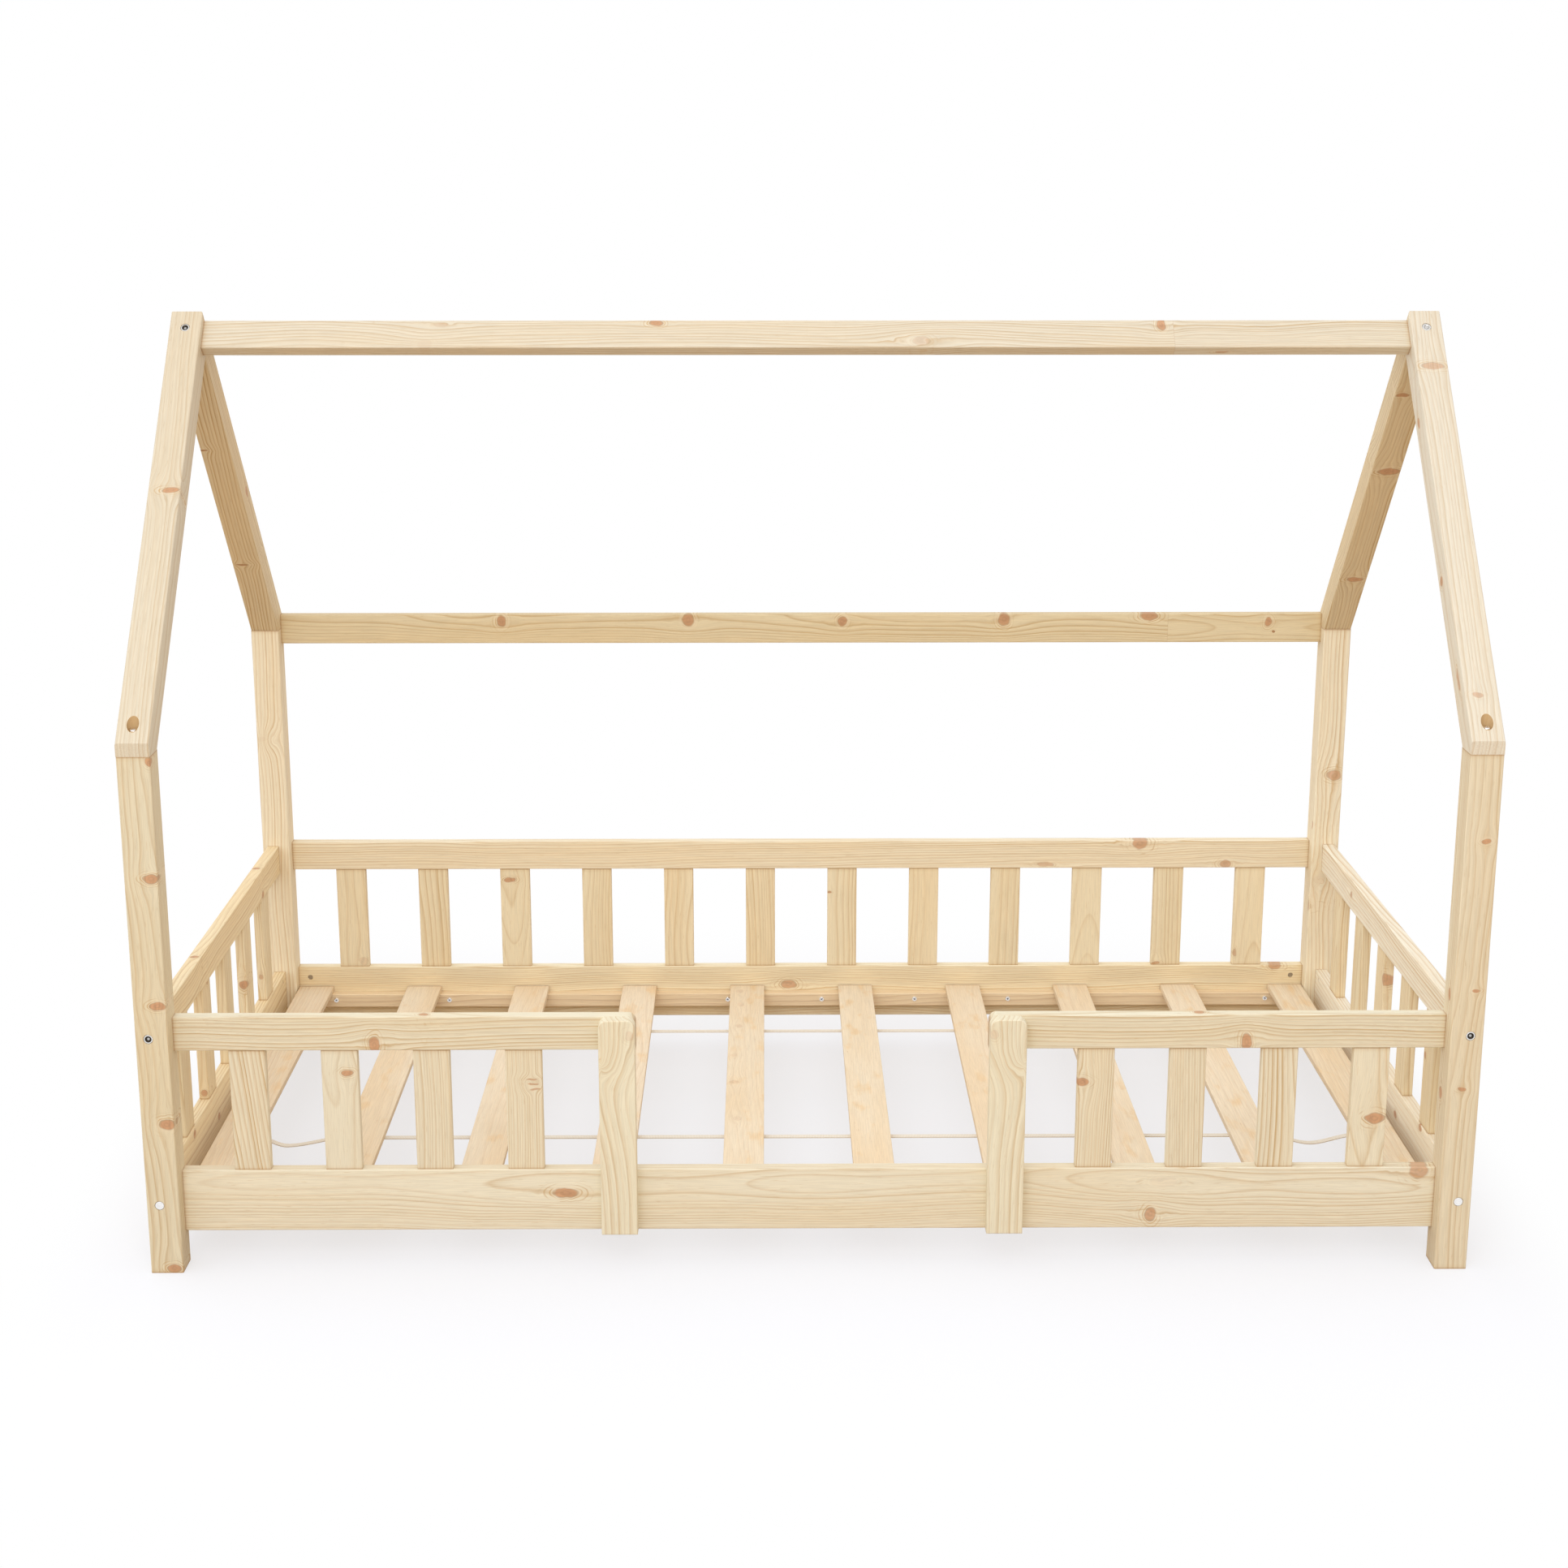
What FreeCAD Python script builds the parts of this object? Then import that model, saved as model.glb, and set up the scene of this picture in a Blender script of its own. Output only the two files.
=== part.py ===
import FreeCAD, Part

import math
import os

from FreeCAD import Placement, Rotation, Vector

# House-frame bed for a small child: four posts, a pitched roof frame, guard rails with an
# entry gap at the front, and a loose roll of slats that lies on two ledges.
# Millimetres, +X along the bed, +Y towards its rear, +Z up.
# The origin is on the floor under the middle of the frame.

# Posts and roof frame
frame_length = 1720.0
frame_depth = 866.0
apex_height = 1208.5
post_side = 42.0
post_height = 694.0
rafter_depth = 42.0
rafter_plumb = 17.0
post_round = 2.0

# Rails
rail_height = 45.5
rail_thickness = 18.0
base_rail_height = 84.5
floor_clearance = 49.0
guard_height = 344.5
front_rail_inset = 24.0
rear_rail_inset = 2.0
end_rail_inset = 7.5
board_round = 1.5

# Roof beams: the ridge beam lies along the front slope, sunk below its face
ridge_sink = 11.0
ridge_drop = 6.5
eave_drop = 2.0

# Balusters, with stub tenons in mortises
baluster_width = 47.0
baluster_thickness = 14.0
rear_baluster_count = 12
rear_baluster_margin = 68.5
end_baluster_count = 5
end_baluster_margin = 92.5
front_baluster_count = 4
tenon_length = 12.0
tenon_width = 32.0
tenon_thickness = 7.0
mortise_clear = 0.2

# Entry gap and the stiles beside it
entry_width = 455.0
entry_shift = 2.8
stile_width = 47.0
stile_thickness = 18.0
entry_corner_radius = 11.0

# Ledges and the slat roll
ledge_drop = 41.5
ledge_height = 21.5
ledge_thickness = 17.0
ledge_end_gap = 6.0
slat_count = 10
slat_width = 55.0
slat_thickness = 9.0
slat_round = 1.0
slat_end_clear = 1.5
slat_side_clear = 1.5
slat_rest_gap = 0.2
ribbon_width = 10.0
ribbon_thickness = 1.2
ribbon_spacing = 422.0
ribbon_dip = 11.5
ribbon_end_margin = 10.0
staple_wire = 1.0
staple_leg = 6.0
staple_clear = 0.2

# Frame bolts and their barrel nuts
bolt_diameter = 5.0
bolt_head_diameter = 12.0
bolt_head_height = 3.0
bolt_head_round = 1.0
bolt_socket = 4.0
bolt_tail = 2.0
bolt_head_sink = 3.3
bolt_head_clear = 0.6
nut_diameter = 8.0
nut_length = 12.0
nut_reach = 19.0
apex_bolt_drop = 26.7
apex_bolt_reach = 80.0
bolt_clear = 0.5
fit_clear = 0.2

# Dowels beside the bolts, and the empty peg holes of the end rails
dowel_diameter = 8.0
dowel_length = 30.0
peg_hole_diameter = 6.0
peg_hole_reach = 23.0

# Screws
screw_diameter = 3.5
screw_head_diameter = 8.4
screw_head_height = 2.2
stile_screw_diameter = 4.0
eave_screw_diameter = 5.0
eave_screw_head = 10.5
eave_screw_head_height = 2.4
eave_screw_bite = 45.0
eave_screw_out_x = 1.3
eave_screw_out_y = 3.2
eave_bore_diameter = 15.0
eave_bore_depth = 8.5
recess_width = 1.0
overrun = 2.0

# Places as shares of the piece that carries them, measured down from a rail's top edge
end_bolt_share = 0.458
long_bolt_share = 0.207
end_dowel_share = 0.80
long_dowel_share = 0.76
peg_hole_share = 0.112
stile_screw_shares = (0.22, 0.87)
ledge_screw_drop_share = 0.42
beam_bolt_share = 0.74
beam_dowel_share = 0.20

# Other shares
screw_bite_share = 0.7
head_top_share = 0.7
recess_length_share = 0.6
recess_depth_share = 0.55
peg_depth_share = 0.5
dip_left_share = 0.32
dip_right_share = 0.49
dip_pull_share = 0.30
parallel_share = 0.999
front_end_gap_share = 0.965
ledge_screw_shares = (
    -0.93, -0.704, -0.519, -0.333, -0.147, 0.041, 0.227, 0.414, 0.541, 0.757, 0.93,
)

# Planes that several pieces share
half_length = frame_length / 2
half_depth = frame_depth / 2
post_inner_x = half_length - post_side
post_inner_y = half_depth - post_side
front_face_y = -half_depth + front_rail_inset
front_inner_y = front_face_y + rail_thickness
rear_outer_y = half_depth - rear_rail_inset
rear_inner_y = rear_outer_y - rail_thickness
end_outer_x = half_length - end_rail_inset
end_inner_x = end_outer_x - rail_thickness
front_rail_y = (front_face_y + front_inner_y) / 2
rear_rail_y = (rear_inner_y + rear_outer_y) / 2
end_rail_x = (end_inner_x + end_outer_x) / 2
base_top = floor_clearance + base_rail_height
guard_bottom = guard_height - rail_height
ledge_top = base_top - ledge_drop
slat_bottom = ledge_top + slat_rest_gap
entry_half = entry_width / 2
stile_outer_x = entry_half + stile_width

# Roof slope, in the plane that runs front to rear
roof_angle = math.atan2(apex_height - post_height - rafter_plumb, half_depth)
slope_up = Vector(0, math.cos(roof_angle), math.sin(roof_angle))
slope_out = Vector(0, -math.sin(roof_angle), math.cos(roof_angle))
rafter_drop = rafter_depth / math.cos(roof_angle)
rafter_seat = (rafter_drop - rafter_plumb) / math.tan(roof_angle)
apex = Vector(0, 0, apex_height)

LEFT, RIGHT = -1, 1
AXIS_X = Vector(1, 0, 0)
AXIS_Y = Vector(0, 1, 0)
AXIS_Z = Vector(0, 0, 1)
HEX_SIDES = 6
SIDES = (("left", LEFT), ("right", RIGHT))

solids = {}
holes = {}


def add(name, shape):
    """Keep a piece under its node's name; a list becomes a group of separate solids."""
    solids[name] = shape


def drill(name, tool):
    """Remember a hole, mortise or bore that is cut from a piece before it is written."""
    holes.setdefault(name, []).append(tool)


def block(low, high):
    """A square-edged box between two corners, given in any order."""
    corner = Vector(min(low.x, high.x), min(low.y, high.y), min(low.z, high.z))
    size = high - low
    return Part.makeBox(abs(size.x), abs(size.y), abs(size.z), corner)


def rounded(shape, direction, radius):
    """Round the edges of a shape that run along a direction."""
    edges = []
    for edge in shape.Edges:
        if abs(edge.tangentAt(edge.FirstParameter).dot(direction)) > parallel_share:
            edges.append(edge)
    return shape.makeFillet(radius, edges)


def board(low, high, grain):
    """A planed board with its long edges eased."""
    return rounded(block(low, high), grain, board_round)


def rod(start, direction, length, diameter):
    """A round bar or hole from a point along a direction."""
    return Part.makeCylinder(diameter / 2, length, start, direction)


def placed(shape, point, direction):
    """A copy of a shape made along +Z, turned to a direction and moved to a point."""
    copy = shape.copy()
    copy.Placement = Placement(point, Rotation(AXIS_Z, direction))
    return copy


def hexagon(across, depth):
    """A hexagonal prism below the origin, for a key socket."""
    radius = across / 2 / math.cos(math.pi / HEX_SIDES)
    corners = []
    for index in range(HEX_SIDES + 1):
        angle = 2 * math.pi * index / HEX_SIDES
        corners.append(Vector(radius * math.cos(angle), radius * math.sin(angle), 0))
    face = Part.Face(Part.makePolygon(corners))
    return face.extrude(-AXIS_Z * depth)


def key_bolt(length):
    """A bolt along +Z from its seat, with a low round head below the seat and a key socket."""
    head = Part.makeCylinder(bolt_head_diameter / 2, bolt_head_height, -AXIS_Z * bolt_head_height)
    rim = [edge for edge in head.Edges if edge.BoundBox.ZMax < -bolt_head_height / 2]
    rim = [edge for edge in rim if edge.Curve.TypeId == "Part::GeomCircle"]
    head = head.makeFillet(bolt_head_round, rim)
    socket = hexagon(bolt_socket, bolt_head_height * head_top_share)
    socket.translate(-AXIS_Z * bolt_head_height * (1 - head_top_share))
    return head.cut(socket).fuse(rod(Vector(), AXIS_Z, length, bolt_diameter)).removeSplitter()


def cross_recess(head, height):
    """The two slots of a cross recess in the top of a screw head that points along -Z."""
    arm = head * recess_length_share / 2
    half = recess_width / 2
    top = -height - overrun
    floor = -height * (1 - recess_depth_share)
    first = block(Vector(-arm, -half, top), Vector(arm, half, floor))
    second = block(Vector(-half, -arm, top), Vector(half, arm, floor))
    return first.fuse(second)


def pan_screw(diameter, head, height, length):
    """A screw along +Z from its seat, with a low crowned head and a cross recess."""
    crown = Part.makeCone(head / 2, head * head_top_share / 2, height, Vector(), -AXIS_Z)
    crown = crown.cut(cross_recess(head * head_top_share, height))
    return crown.fuse(rod(Vector(), AXIS_Z, length, diameter))


def sunk_screw(diameter, head, height, length):
    """A screw along +Z whose cone head ends flush with its seat."""
    cone = Part.makeCone(head / 2, diameter / 2, height, Vector(), AXIS_Z)
    slots = cross_recess(head * head_top_share, height)
    slots.translate(AXIS_Z * height)
    return cone.fuse(rod(Vector(), AXIS_Z, length, diameter)).cut(slots)


def barrel_nut(centre, axis, bolt_axis):
    """A round cross nut with a hole for its bolt."""
    body = rod(centre - axis * (nut_length / 2), axis, nut_length, nut_diameter)
    reach = nut_diameter / 2 + overrun
    return body.cut(rod(centre - bolt_axis * reach, bolt_axis, 2 * reach, bolt_diameter + fit_clear))


bolts = {"end_rail_bolts": [], "long_rail_bolts": [], "apex_bolts": []}
nuts = []
dowels = []


def sink_bolt(group, piece, mouth, inward, reach):
    """A bolt whose head lies in a shallow bore and whose tip is a distance below the mouth."""
    seat = mouth + inward * bolt_head_sink
    bolts[group].append(placed(key_bolt(reach - bolt_head_sink), seat, inward))
    bore_diameter = bolt_head_diameter + bolt_head_clear
    drill(piece, rod(mouth - inward * overrun, inward, bolt_head_sink + overrun, bore_diameter))


def bolt_joint(group, post, rail, mouth, inward, opening):
    """A bolt from a post's outer face into a barrel nut near the end of a rail."""
    nut_centre = mouth + inward * (post_side + nut_reach)
    reach = post_side + nut_reach + nut_diameter / 2 + bolt_tail
    hole = bolt_diameter + bolt_clear
    sink_bolt(group, post, mouth, inward, reach)
    nuts.append(barrel_nut(nut_centre, opening, inward))
    drill(post, rod(mouth - inward * overrun, inward, post_side + 2 * overrun, hole))
    rail_start = mouth + inward * (post_side - overrun)
    drill(rail, rod(rail_start, inward, reach - post_side + overrun + bolt_clear, hole))
    nut_depth = (nut_length + rail_thickness) / 2 + overrun
    nut_start = nut_centre - opening * (nut_length / 2)
    drill(rail, rod(nut_start, opening, nut_depth, nut_diameter + fit_clear))


def dowel_joint(pieces, centre, axis):
    """A dowel half in a rail's end and half in what stands beside it."""
    dowels.append(rod(centre - axis * (dowel_length / 2), axis, dowel_length, dowel_diameter))
    bore_length = dowel_length + 2 * fit_clear
    for name in pieces:
        start = centre - axis * (bore_length / 2)
        drill(name, rod(start, axis, bore_length, dowel_diameter + fit_clear))


def make_posts():
    """The four square posts, cut level at the roof seam."""
    for side, sign_x in SIDES:
        for end, sign_y in (("front", -1), ("rear", 1)):
            low = Vector(sign_x * post_inner_x, sign_y * post_inner_y, 0)
            high = Vector(sign_x * half_length, sign_y * half_depth, post_height)
            add(f"{end}_{side}_post", rounded(block(low, high), AXIS_Z, post_round))


def make_rafters():
    """Rafters with a level seat and an upright cut at the eaves, mitred at the apex."""
    outline = [
        Vector(0, -half_depth, post_height),
        Vector(0, -half_depth, post_height + rafter_plumb),
        Vector(0, 0, apex_height),
        Vector(0, 0, apex_height - rafter_drop),
        Vector(0, -half_depth + rafter_seat, post_height),
    ]
    face = Part.Face(Part.makePolygon(outline + outline[:1]))
    front = rounded(face.extrude(AXIS_X * post_side), slope_up, post_round)
    rear = front.mirror(Vector(), AXIS_Y)
    for side, sign_x in SIDES:
        shift = AXIS_X * (post_inner_x if sign_x == RIGHT else -half_length)
        for end, rafter in (("front", front), ("rear", rear)):
            copy = rafter.copy()
            copy.translate(shift)
            add(f"{end}_{side}_rafter", copy)


def make_roof_beams():
    """The ridge beam along the front slope and the upright eave beam at the rear."""
    beam = block(Vector(-post_inner_x, -rail_height, -rail_thickness), Vector(post_inner_x, 0, 0))
    beam = rounded(beam, AXIS_X, board_round)
    beam.rotate(Vector(), AXIS_X, math.degrees(roof_angle))
    corner = apex - slope_out * ridge_sink - slope_up * ridge_drop
    beam.translate(corner)
    add("ridge_beam", beam)
    eave_middle = post_height - eave_drop
    low = Vector(-post_inner_x, rear_inner_y, eave_middle - rail_height / 2)
    high = Vector(post_inner_x, rear_outer_y, eave_middle + rail_height / 2)
    add("eave_beam", board(low, high, AXIS_X))
    for side, sign_x in SIDES:
        inward = AXIS_X * -sign_x
        core = corner - slope_out * (rail_thickness / 2)
        rafter = f"front_{side}_rafter"
        mouth = core - slope_up * (rail_height * beam_bolt_share) + AXIS_X * (sign_x * half_length)
        bolt_joint("long_rail_bolts", rafter, "ridge_beam", mouth, inward, -slope_out)
        joint = core - slope_up * (rail_height * beam_dowel_share) + AXIS_X * (sign_x * post_inner_x)
        dowel_joint((rafter, f"rear_{side}_rafter", "ridge_beam"), joint, AXIS_X)
        eave_top = eave_middle + rail_height / 2
        mouth = Vector(sign_x * half_length, rear_rail_y, eave_top - rail_height * beam_bolt_share)
        bolt_joint("long_rail_bolts", f"rear_{side}_post", "eave_beam", mouth, inward, AXIS_Y)
        joint_z = eave_top - rail_height * beam_dowel_share
        joint = Vector(sign_x * post_inner_x, rear_rail_y, joint_z)
        dowel_joint((f"rear_{side}_rafter", "eave_beam"), joint, AXIS_X)


def make_long_rails():
    """The rails along the bed: a whole one low at the front, two short ones above, two at the rear."""
    low = Vector(-post_inner_x, front_face_y, floor_clearance)
    high = Vector(post_inner_x, front_inner_y, base_top)
    add("front_base_rail", board(low, high, AXIS_X))
    for side, sign_x in SIDES:
        low = Vector(entry_shift + sign_x * entry_half, front_face_y, guard_bottom)
        high = Vector(sign_x * post_inner_x, front_inner_y, guard_height)
        rail = board(low, high, AXIS_X)
        add(f"front_{side}_top_rail", rail.cut(entry_corner(sign_x)))
    for name, bottom, top in (("rear_base_rail", floor_clearance, base_top),
                              ("rear_top_rail", guard_bottom, guard_height)):
        low = Vector(-post_inner_x, rear_inner_y, bottom)
        high = Vector(post_inner_x, rear_outer_y, top)
        add(name, board(low, high, AXIS_X))


def entry_corner(sign_x):
    """What is cut away to round the upper corner of a top rail beside the entry gap."""
    edge_x = entry_shift + sign_x * entry_half
    inner_x = edge_x + sign_x * entry_corner_radius
    bottom = guard_height - entry_corner_radius
    front = front_face_y - overrun
    rear = front_inner_y + overrun
    low = Vector(edge_x - sign_x * overrun, front, bottom)
    high = Vector(inner_x, rear, guard_height + overrun)
    centre = Vector(inner_x, front, bottom)
    return block(low, high).cut(rod(centre, AXIS_Y, rear - front, 2 * entry_corner_radius))


def join_long_rails():
    """Bolts and dowels that hold the long rails between the posts."""
    rails = [("front_base_rail", "front", base_top, base_rail_height, AXIS_Y)]
    rails.append(("rear_base_rail", "rear", base_top, base_rail_height, -AXIS_Y))
    rails.append(("rear_top_rail", "rear", guard_height, rail_height, AXIS_Y))
    for side, sign_x in SIDES:
        inward = AXIS_X * -sign_x
        top_rail = (f"front_{side}_top_rail", "front", guard_height, rail_height, AXIS_Y)
        for rail, end, top, height, opening in rails + [top_rail]:
            rail_y = front_rail_y if end == "front" else rear_rail_y
            post = f"{end}_{side}_post"
            mouth = Vector(sign_x * half_length, rail_y, top - height * long_bolt_share)
            bolt_joint("long_rail_bolts", post, rail, mouth, inward, opening)
            joint = Vector(sign_x * post_inner_x, rail_y, top - height * long_dowel_share)
            dowel_joint((post, rail), joint, AXIS_X)


def make_end_rails():
    """The rails across the two ends, with their bolts, dowels and empty peg holes."""
    for side, sign_x in SIDES:
        outward = AXIS_X * sign_x
        for level, bottom, top, height in (("top", guard_bottom, guard_height, rail_height),
                                           ("base", floor_clearance, base_top, base_rail_height)):
            name = f"{side}_{level}_rail"
            low = Vector(sign_x * end_inner_x, -post_inner_y, bottom)
            high = Vector(sign_x * end_outer_x, post_inner_y, top)
            add(name, board(low, high, AXIS_Y))
            for end, sign_y in (("front", -1), ("rear", 1)):
                post = f"{end}_{side}_post"
                inward = AXIS_Y * -sign_y
                bolt_z = top - height * end_bolt_share
                mouth = Vector(sign_x * end_rail_x, sign_y * half_depth, bolt_z)
                bolt_joint("end_rail_bolts", post, name, mouth, inward, outward)
                joint_z = top - height * end_dowel_share
                joint = Vector(sign_x * end_rail_x, sign_y * post_inner_y, joint_z)
                dowel_joint((post, name), joint, AXIS_Y)
        for sign_y in (-1, 1):
            hole_y = sign_y * (post_inner_y - peg_hole_reach)
            hole_z = base_top - base_rail_height * peg_hole_share
            mouth = Vector(sign_x * (end_inner_x - overrun), hole_y, hole_z)
            depth = rail_thickness * peg_depth_share + overrun
            drill(f"{side}_base_rail", rod(mouth, outward, depth, peg_hole_diameter))


def baluster(centre, across, rails):
    """A baluster between two rails, with a tenon in each, wide along one axis."""
    through = AXIS_Z.cross(across)

    def slab(width, thickness, bottom, top):
        half = across * (width / 2) + through * (thickness / 2)
        return block(centre - half + AXIS_Z * bottom, centre + half + AXIS_Z * top)

    shank = slab(baluster_width, baluster_thickness, base_top, guard_bottom)
    shank = rounded(shank, AXIS_Z, board_round)
    tenon_low = base_top - tenon_length
    tenon_high = guard_bottom + tenon_length
    tenon = slab(tenon_width, tenon_thickness, tenon_low, tenon_high)
    room = slab(tenon_width + mortise_clear, tenon_thickness + mortise_clear,
                tenon_low - mortise_clear, tenon_high + mortise_clear)
    for rail in rails:
        drill(rail, room)
    return shank.fuse(tenon)


def spread(count, reach, width):
    """The middles of evenly spaced boards whose outer edges lie a distance each side of zero."""
    outer = reach - width / 2
    pitch = 2 * outer / (count - 1)
    return [index * pitch - outer for index in range(count)]


def make_balusters():
    """The upright bars of the rear, end and front guards."""
    row = []
    for x in spread(rear_baluster_count, post_inner_x - rear_baluster_margin, baluster_width):
        centre = Vector(x, rear_rail_y, 0)
        row.append(baluster(centre, AXIS_X, ("rear_base_rail", "rear_top_rail")))
    add("rear_balusters", row)
    for side, sign_x in SIDES:
        row = []
        for y in spread(end_baluster_count, post_inner_y - end_baluster_margin, baluster_width):
            centre = Vector(sign_x * end_rail_x, y, 0)
            row.append(baluster(centre, AXIS_Y, (f"{side}_base_rail", f"{side}_top_rail")))
        add(f"{side}_end_balusters", row)
        span = post_inner_x - stile_outer_x
        gap_count = front_baluster_count + front_end_gap_share
        gap = (span - front_baluster_count * baluster_width) / gap_count
        for index in range(front_baluster_count):
            x = stile_outer_x + gap + baluster_width / 2 + index * (gap + baluster_width)
            centre = Vector(sign_x * x, front_rail_y, 0)
            rails = ("front_base_rail", f"front_{side}_top_rail")
            add(f"front_{side}_baluster_{index + 1}", baluster(centre, AXIS_X, rails))


def make_stiles():
    """The upright boards on the front of the rails, one each side of the entry gap."""
    screws = []
    length = rail_thickness + stile_thickness * screw_bite_share
    screw = sunk_screw(stile_screw_diameter, screw_head_diameter, screw_head_height, length)
    stile_front_y = front_face_y - stile_thickness
    for side, sign_x in SIDES:
        low = Vector(entry_shift + sign_x * entry_half, stile_front_y, floor_clearance)
        high = Vector(entry_shift + sign_x * stile_outer_x, front_face_y, guard_height)
        stile = block(low, high)
        corners = [edge for edge in stile.Edges if edge.BoundBox.ZMin > guard_bottom]
        corners = [edge for edge in corners if edge.BoundBox.YLength > board_round]
        stile = stile.makeFillet(entry_corner_radius, corners)
        rim = [edge for edge in stile.Edges if edge.BoundBox.YMax < front_face_y - board_round]
        name = f"{side}_entry_stile"
        add(name, stile.makeFillet(board_round, rim))
        stile_x = entry_shift + sign_x * (entry_half + stile_width / 2)
        for rail, top, height in ((f"front_{side}_top_rail", guard_height, rail_height),
                                  ("front_base_rail", base_top, base_rail_height)):
            for share in stile_screw_shares:
                seat = Vector(stile_x, front_inner_y, top - height * share)
                screws.append(placed(screw, seat, -AXIS_Y))
                drill_sunk(rail, name, seat)
    add("stile_screws", screws)


def drill_sunk(rail, stile, seat):
    """The countersunk hole of a stile screw through a rail and into the stile."""
    hole = stile_screw_diameter + fit_clear
    cone = Part.makeCone((screw_head_diameter + fit_clear) / 2, hole / 2, screw_head_height)
    drill(rail, placed(cone, seat, -AXIS_Y))
    length = rail_thickness + stile_thickness * screw_bite_share + fit_clear
    for name in (rail, stile):
        drill(name, rod(seat, -AXIS_Y, length, hole))


def make_ledges():
    """The ledges screwed to the inner faces of the long base rails."""
    screws = []
    half = post_inner_x - ledge_end_gap
    length = ledge_thickness + rail_thickness * screw_bite_share
    screw = pan_screw(screw_diameter, screw_head_diameter, screw_head_height, length)
    screw_z = ledge_top - ledge_height * ledge_screw_drop_share
    for end, face_y, into in (("front", front_inner_y, -AXIS_Y), ("rear", rear_inner_y, AXIS_Y)):
        seat_y = face_y - into.y * ledge_thickness
        low = Vector(-half, face_y, ledge_top - ledge_height)
        high = Vector(half, seat_y, ledge_top)
        add(f"{end}_ledge", board(low, high, AXIS_X))
        for share in ledge_screw_shares:
            seat = Vector(half * share, seat_y, screw_z)
            screws.append(placed(screw, seat, into))
            bore = rod(seat, into, length + fit_clear, screw_diameter + fit_clear)
            drill(f"{end}_ledge", bore)
            drill(f"{end}_base_rail", bore)
    add("ledge_screws", screws)


def slat_places():
    """The middle of each slat along the bed, the outer ones beside the posts."""
    return spread(slat_count, post_inner_x - slat_side_clear, slat_width)


def ribbon_lines():
    """The two lines along the bed on which ribbons join the slats."""
    middle = (front_inner_y + rear_inner_y) / 2
    return (("front", middle - ribbon_spacing / 2), ("rear", middle + ribbon_spacing / 2))


def make_slats():
    """The loose slats, from rail to rail, with the slits of their staples."""
    low_y = front_inner_y + slat_end_clear
    high_y = rear_inner_y - slat_end_clear
    for number, x in enumerate(slat_places(), 1):
        low = Vector(x - slat_width / 2, low_y, slat_bottom)
        high = Vector(x + slat_width / 2, high_y, slat_bottom + slat_thickness)
        add(f"slat_{number}", rounded(block(low, high), AXIS_Y, slat_round))


def dip(start, end, low_share, height):
    """The slack of a ribbon between two slats, as two smooth curves that meet at the lowest point."""
    low = Vector(start + (end - start) * low_share, 0, height - ribbon_dip)
    curves = []
    for here, there in ((Vector(start, 0, height), low), (low, Vector(end, 0, height))):
        pull = AXIS_X * ((there.x - here.x) * dip_pull_share)
        curve = Part.BezierCurve()
        curve.setPoles([here, here + pull, there - pull, there])
        curves.append(curve.toShape())
    return curves


def ribbon_edge(places, height):
    """One long edge of a ribbon: under the slats, slack between the outer pairs, else straight."""
    half = slat_width / 2
    first = Vector(places[0] - half + ribbon_end_margin, 0, height)
    last = Vector(places[-1] + half - ribbon_end_margin, 0, height)
    left = dip(places[0] + half, places[1] - half, dip_left_share, height)
    right = dip(places[-2] + half, places[-1] - half, dip_right_share, height)
    edges = [Part.makeLine(first, left[0].Vertexes[0].Point)]
    edges += left
    edges.append(Part.makeLine(left[1].Vertexes[1].Point, right[0].Vertexes[0].Point))
    edges += right
    edges.append(Part.makeLine(right[1].Vertexes[1].Point, last))
    return edges, first, last


def make_ribbons():
    """The two flat ribbons under the slats and the staples that hold them."""
    places = slat_places()
    staples = []
    leg = staple_shape()
    slit = staple_slits()
    for end, y in ribbon_lines():
        upper, first, last = ribbon_edge(places, slat_bottom)
        lower, low_first, low_last = ribbon_edge(places, slat_bottom - ribbon_thickness)
        ends = [Part.makeLine(first, low_first), Part.makeLine(last, low_last)]
        outline = Part.Wire(Part.__sortEdges__(upper + lower + ends))
        ribbon = Part.Face(outline).extrude(AXIS_Y * ribbon_width)
        ribbon.translate(AXIS_Y * (y - ribbon_width / 2))
        add(f"{end}_ribbon", ribbon)
        for number, x in enumerate(places, 1):
            point = Vector(x, y, slat_bottom)
            staples.append(placed(leg, point, AXIS_Z))
            drill(f"slat_{number}", placed(slit, point, AXIS_Z))
    add("slat_staples", staples)


def staple_shape():
    """A staple whose crown lies under the ribbon and whose legs stand in the slat."""
    half_wire = staple_wire / 2
    inner = (ribbon_width + staple_clear) / 2
    bottom = -ribbon_thickness - staple_wire
    low = Vector(-half_wire, -inner - staple_wire, bottom)
    high = Vector(half_wire, inner + staple_wire, -ribbon_thickness)
    staple = block(low, high)
    for sign in (-1, 1):
        foot = Vector(-half_wire, sign * inner, bottom)
        tip = Vector(half_wire, sign * (inner + staple_wire), staple_leg)
        staple = staple.fuse(block(foot, tip))
    return staple.removeSplitter()


def staple_slits():
    """The slits that a staple's legs make in a slat."""
    half_slit = (staple_wire + staple_clear) / 2
    leg_y = (ribbon_width + staple_clear + staple_wire) / 2
    slits = []
    for sign in (-1, 1):
        middle = Vector(0, sign * leg_y, 0)
        reach = Vector(half_slit, half_slit, 0)
        top = AXIS_Z * (staple_leg + staple_clear)
        slits.append(block(middle - reach - AXIS_Z * overrun, middle + reach + top))
    return slits[0].fuse(slits[1])


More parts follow.
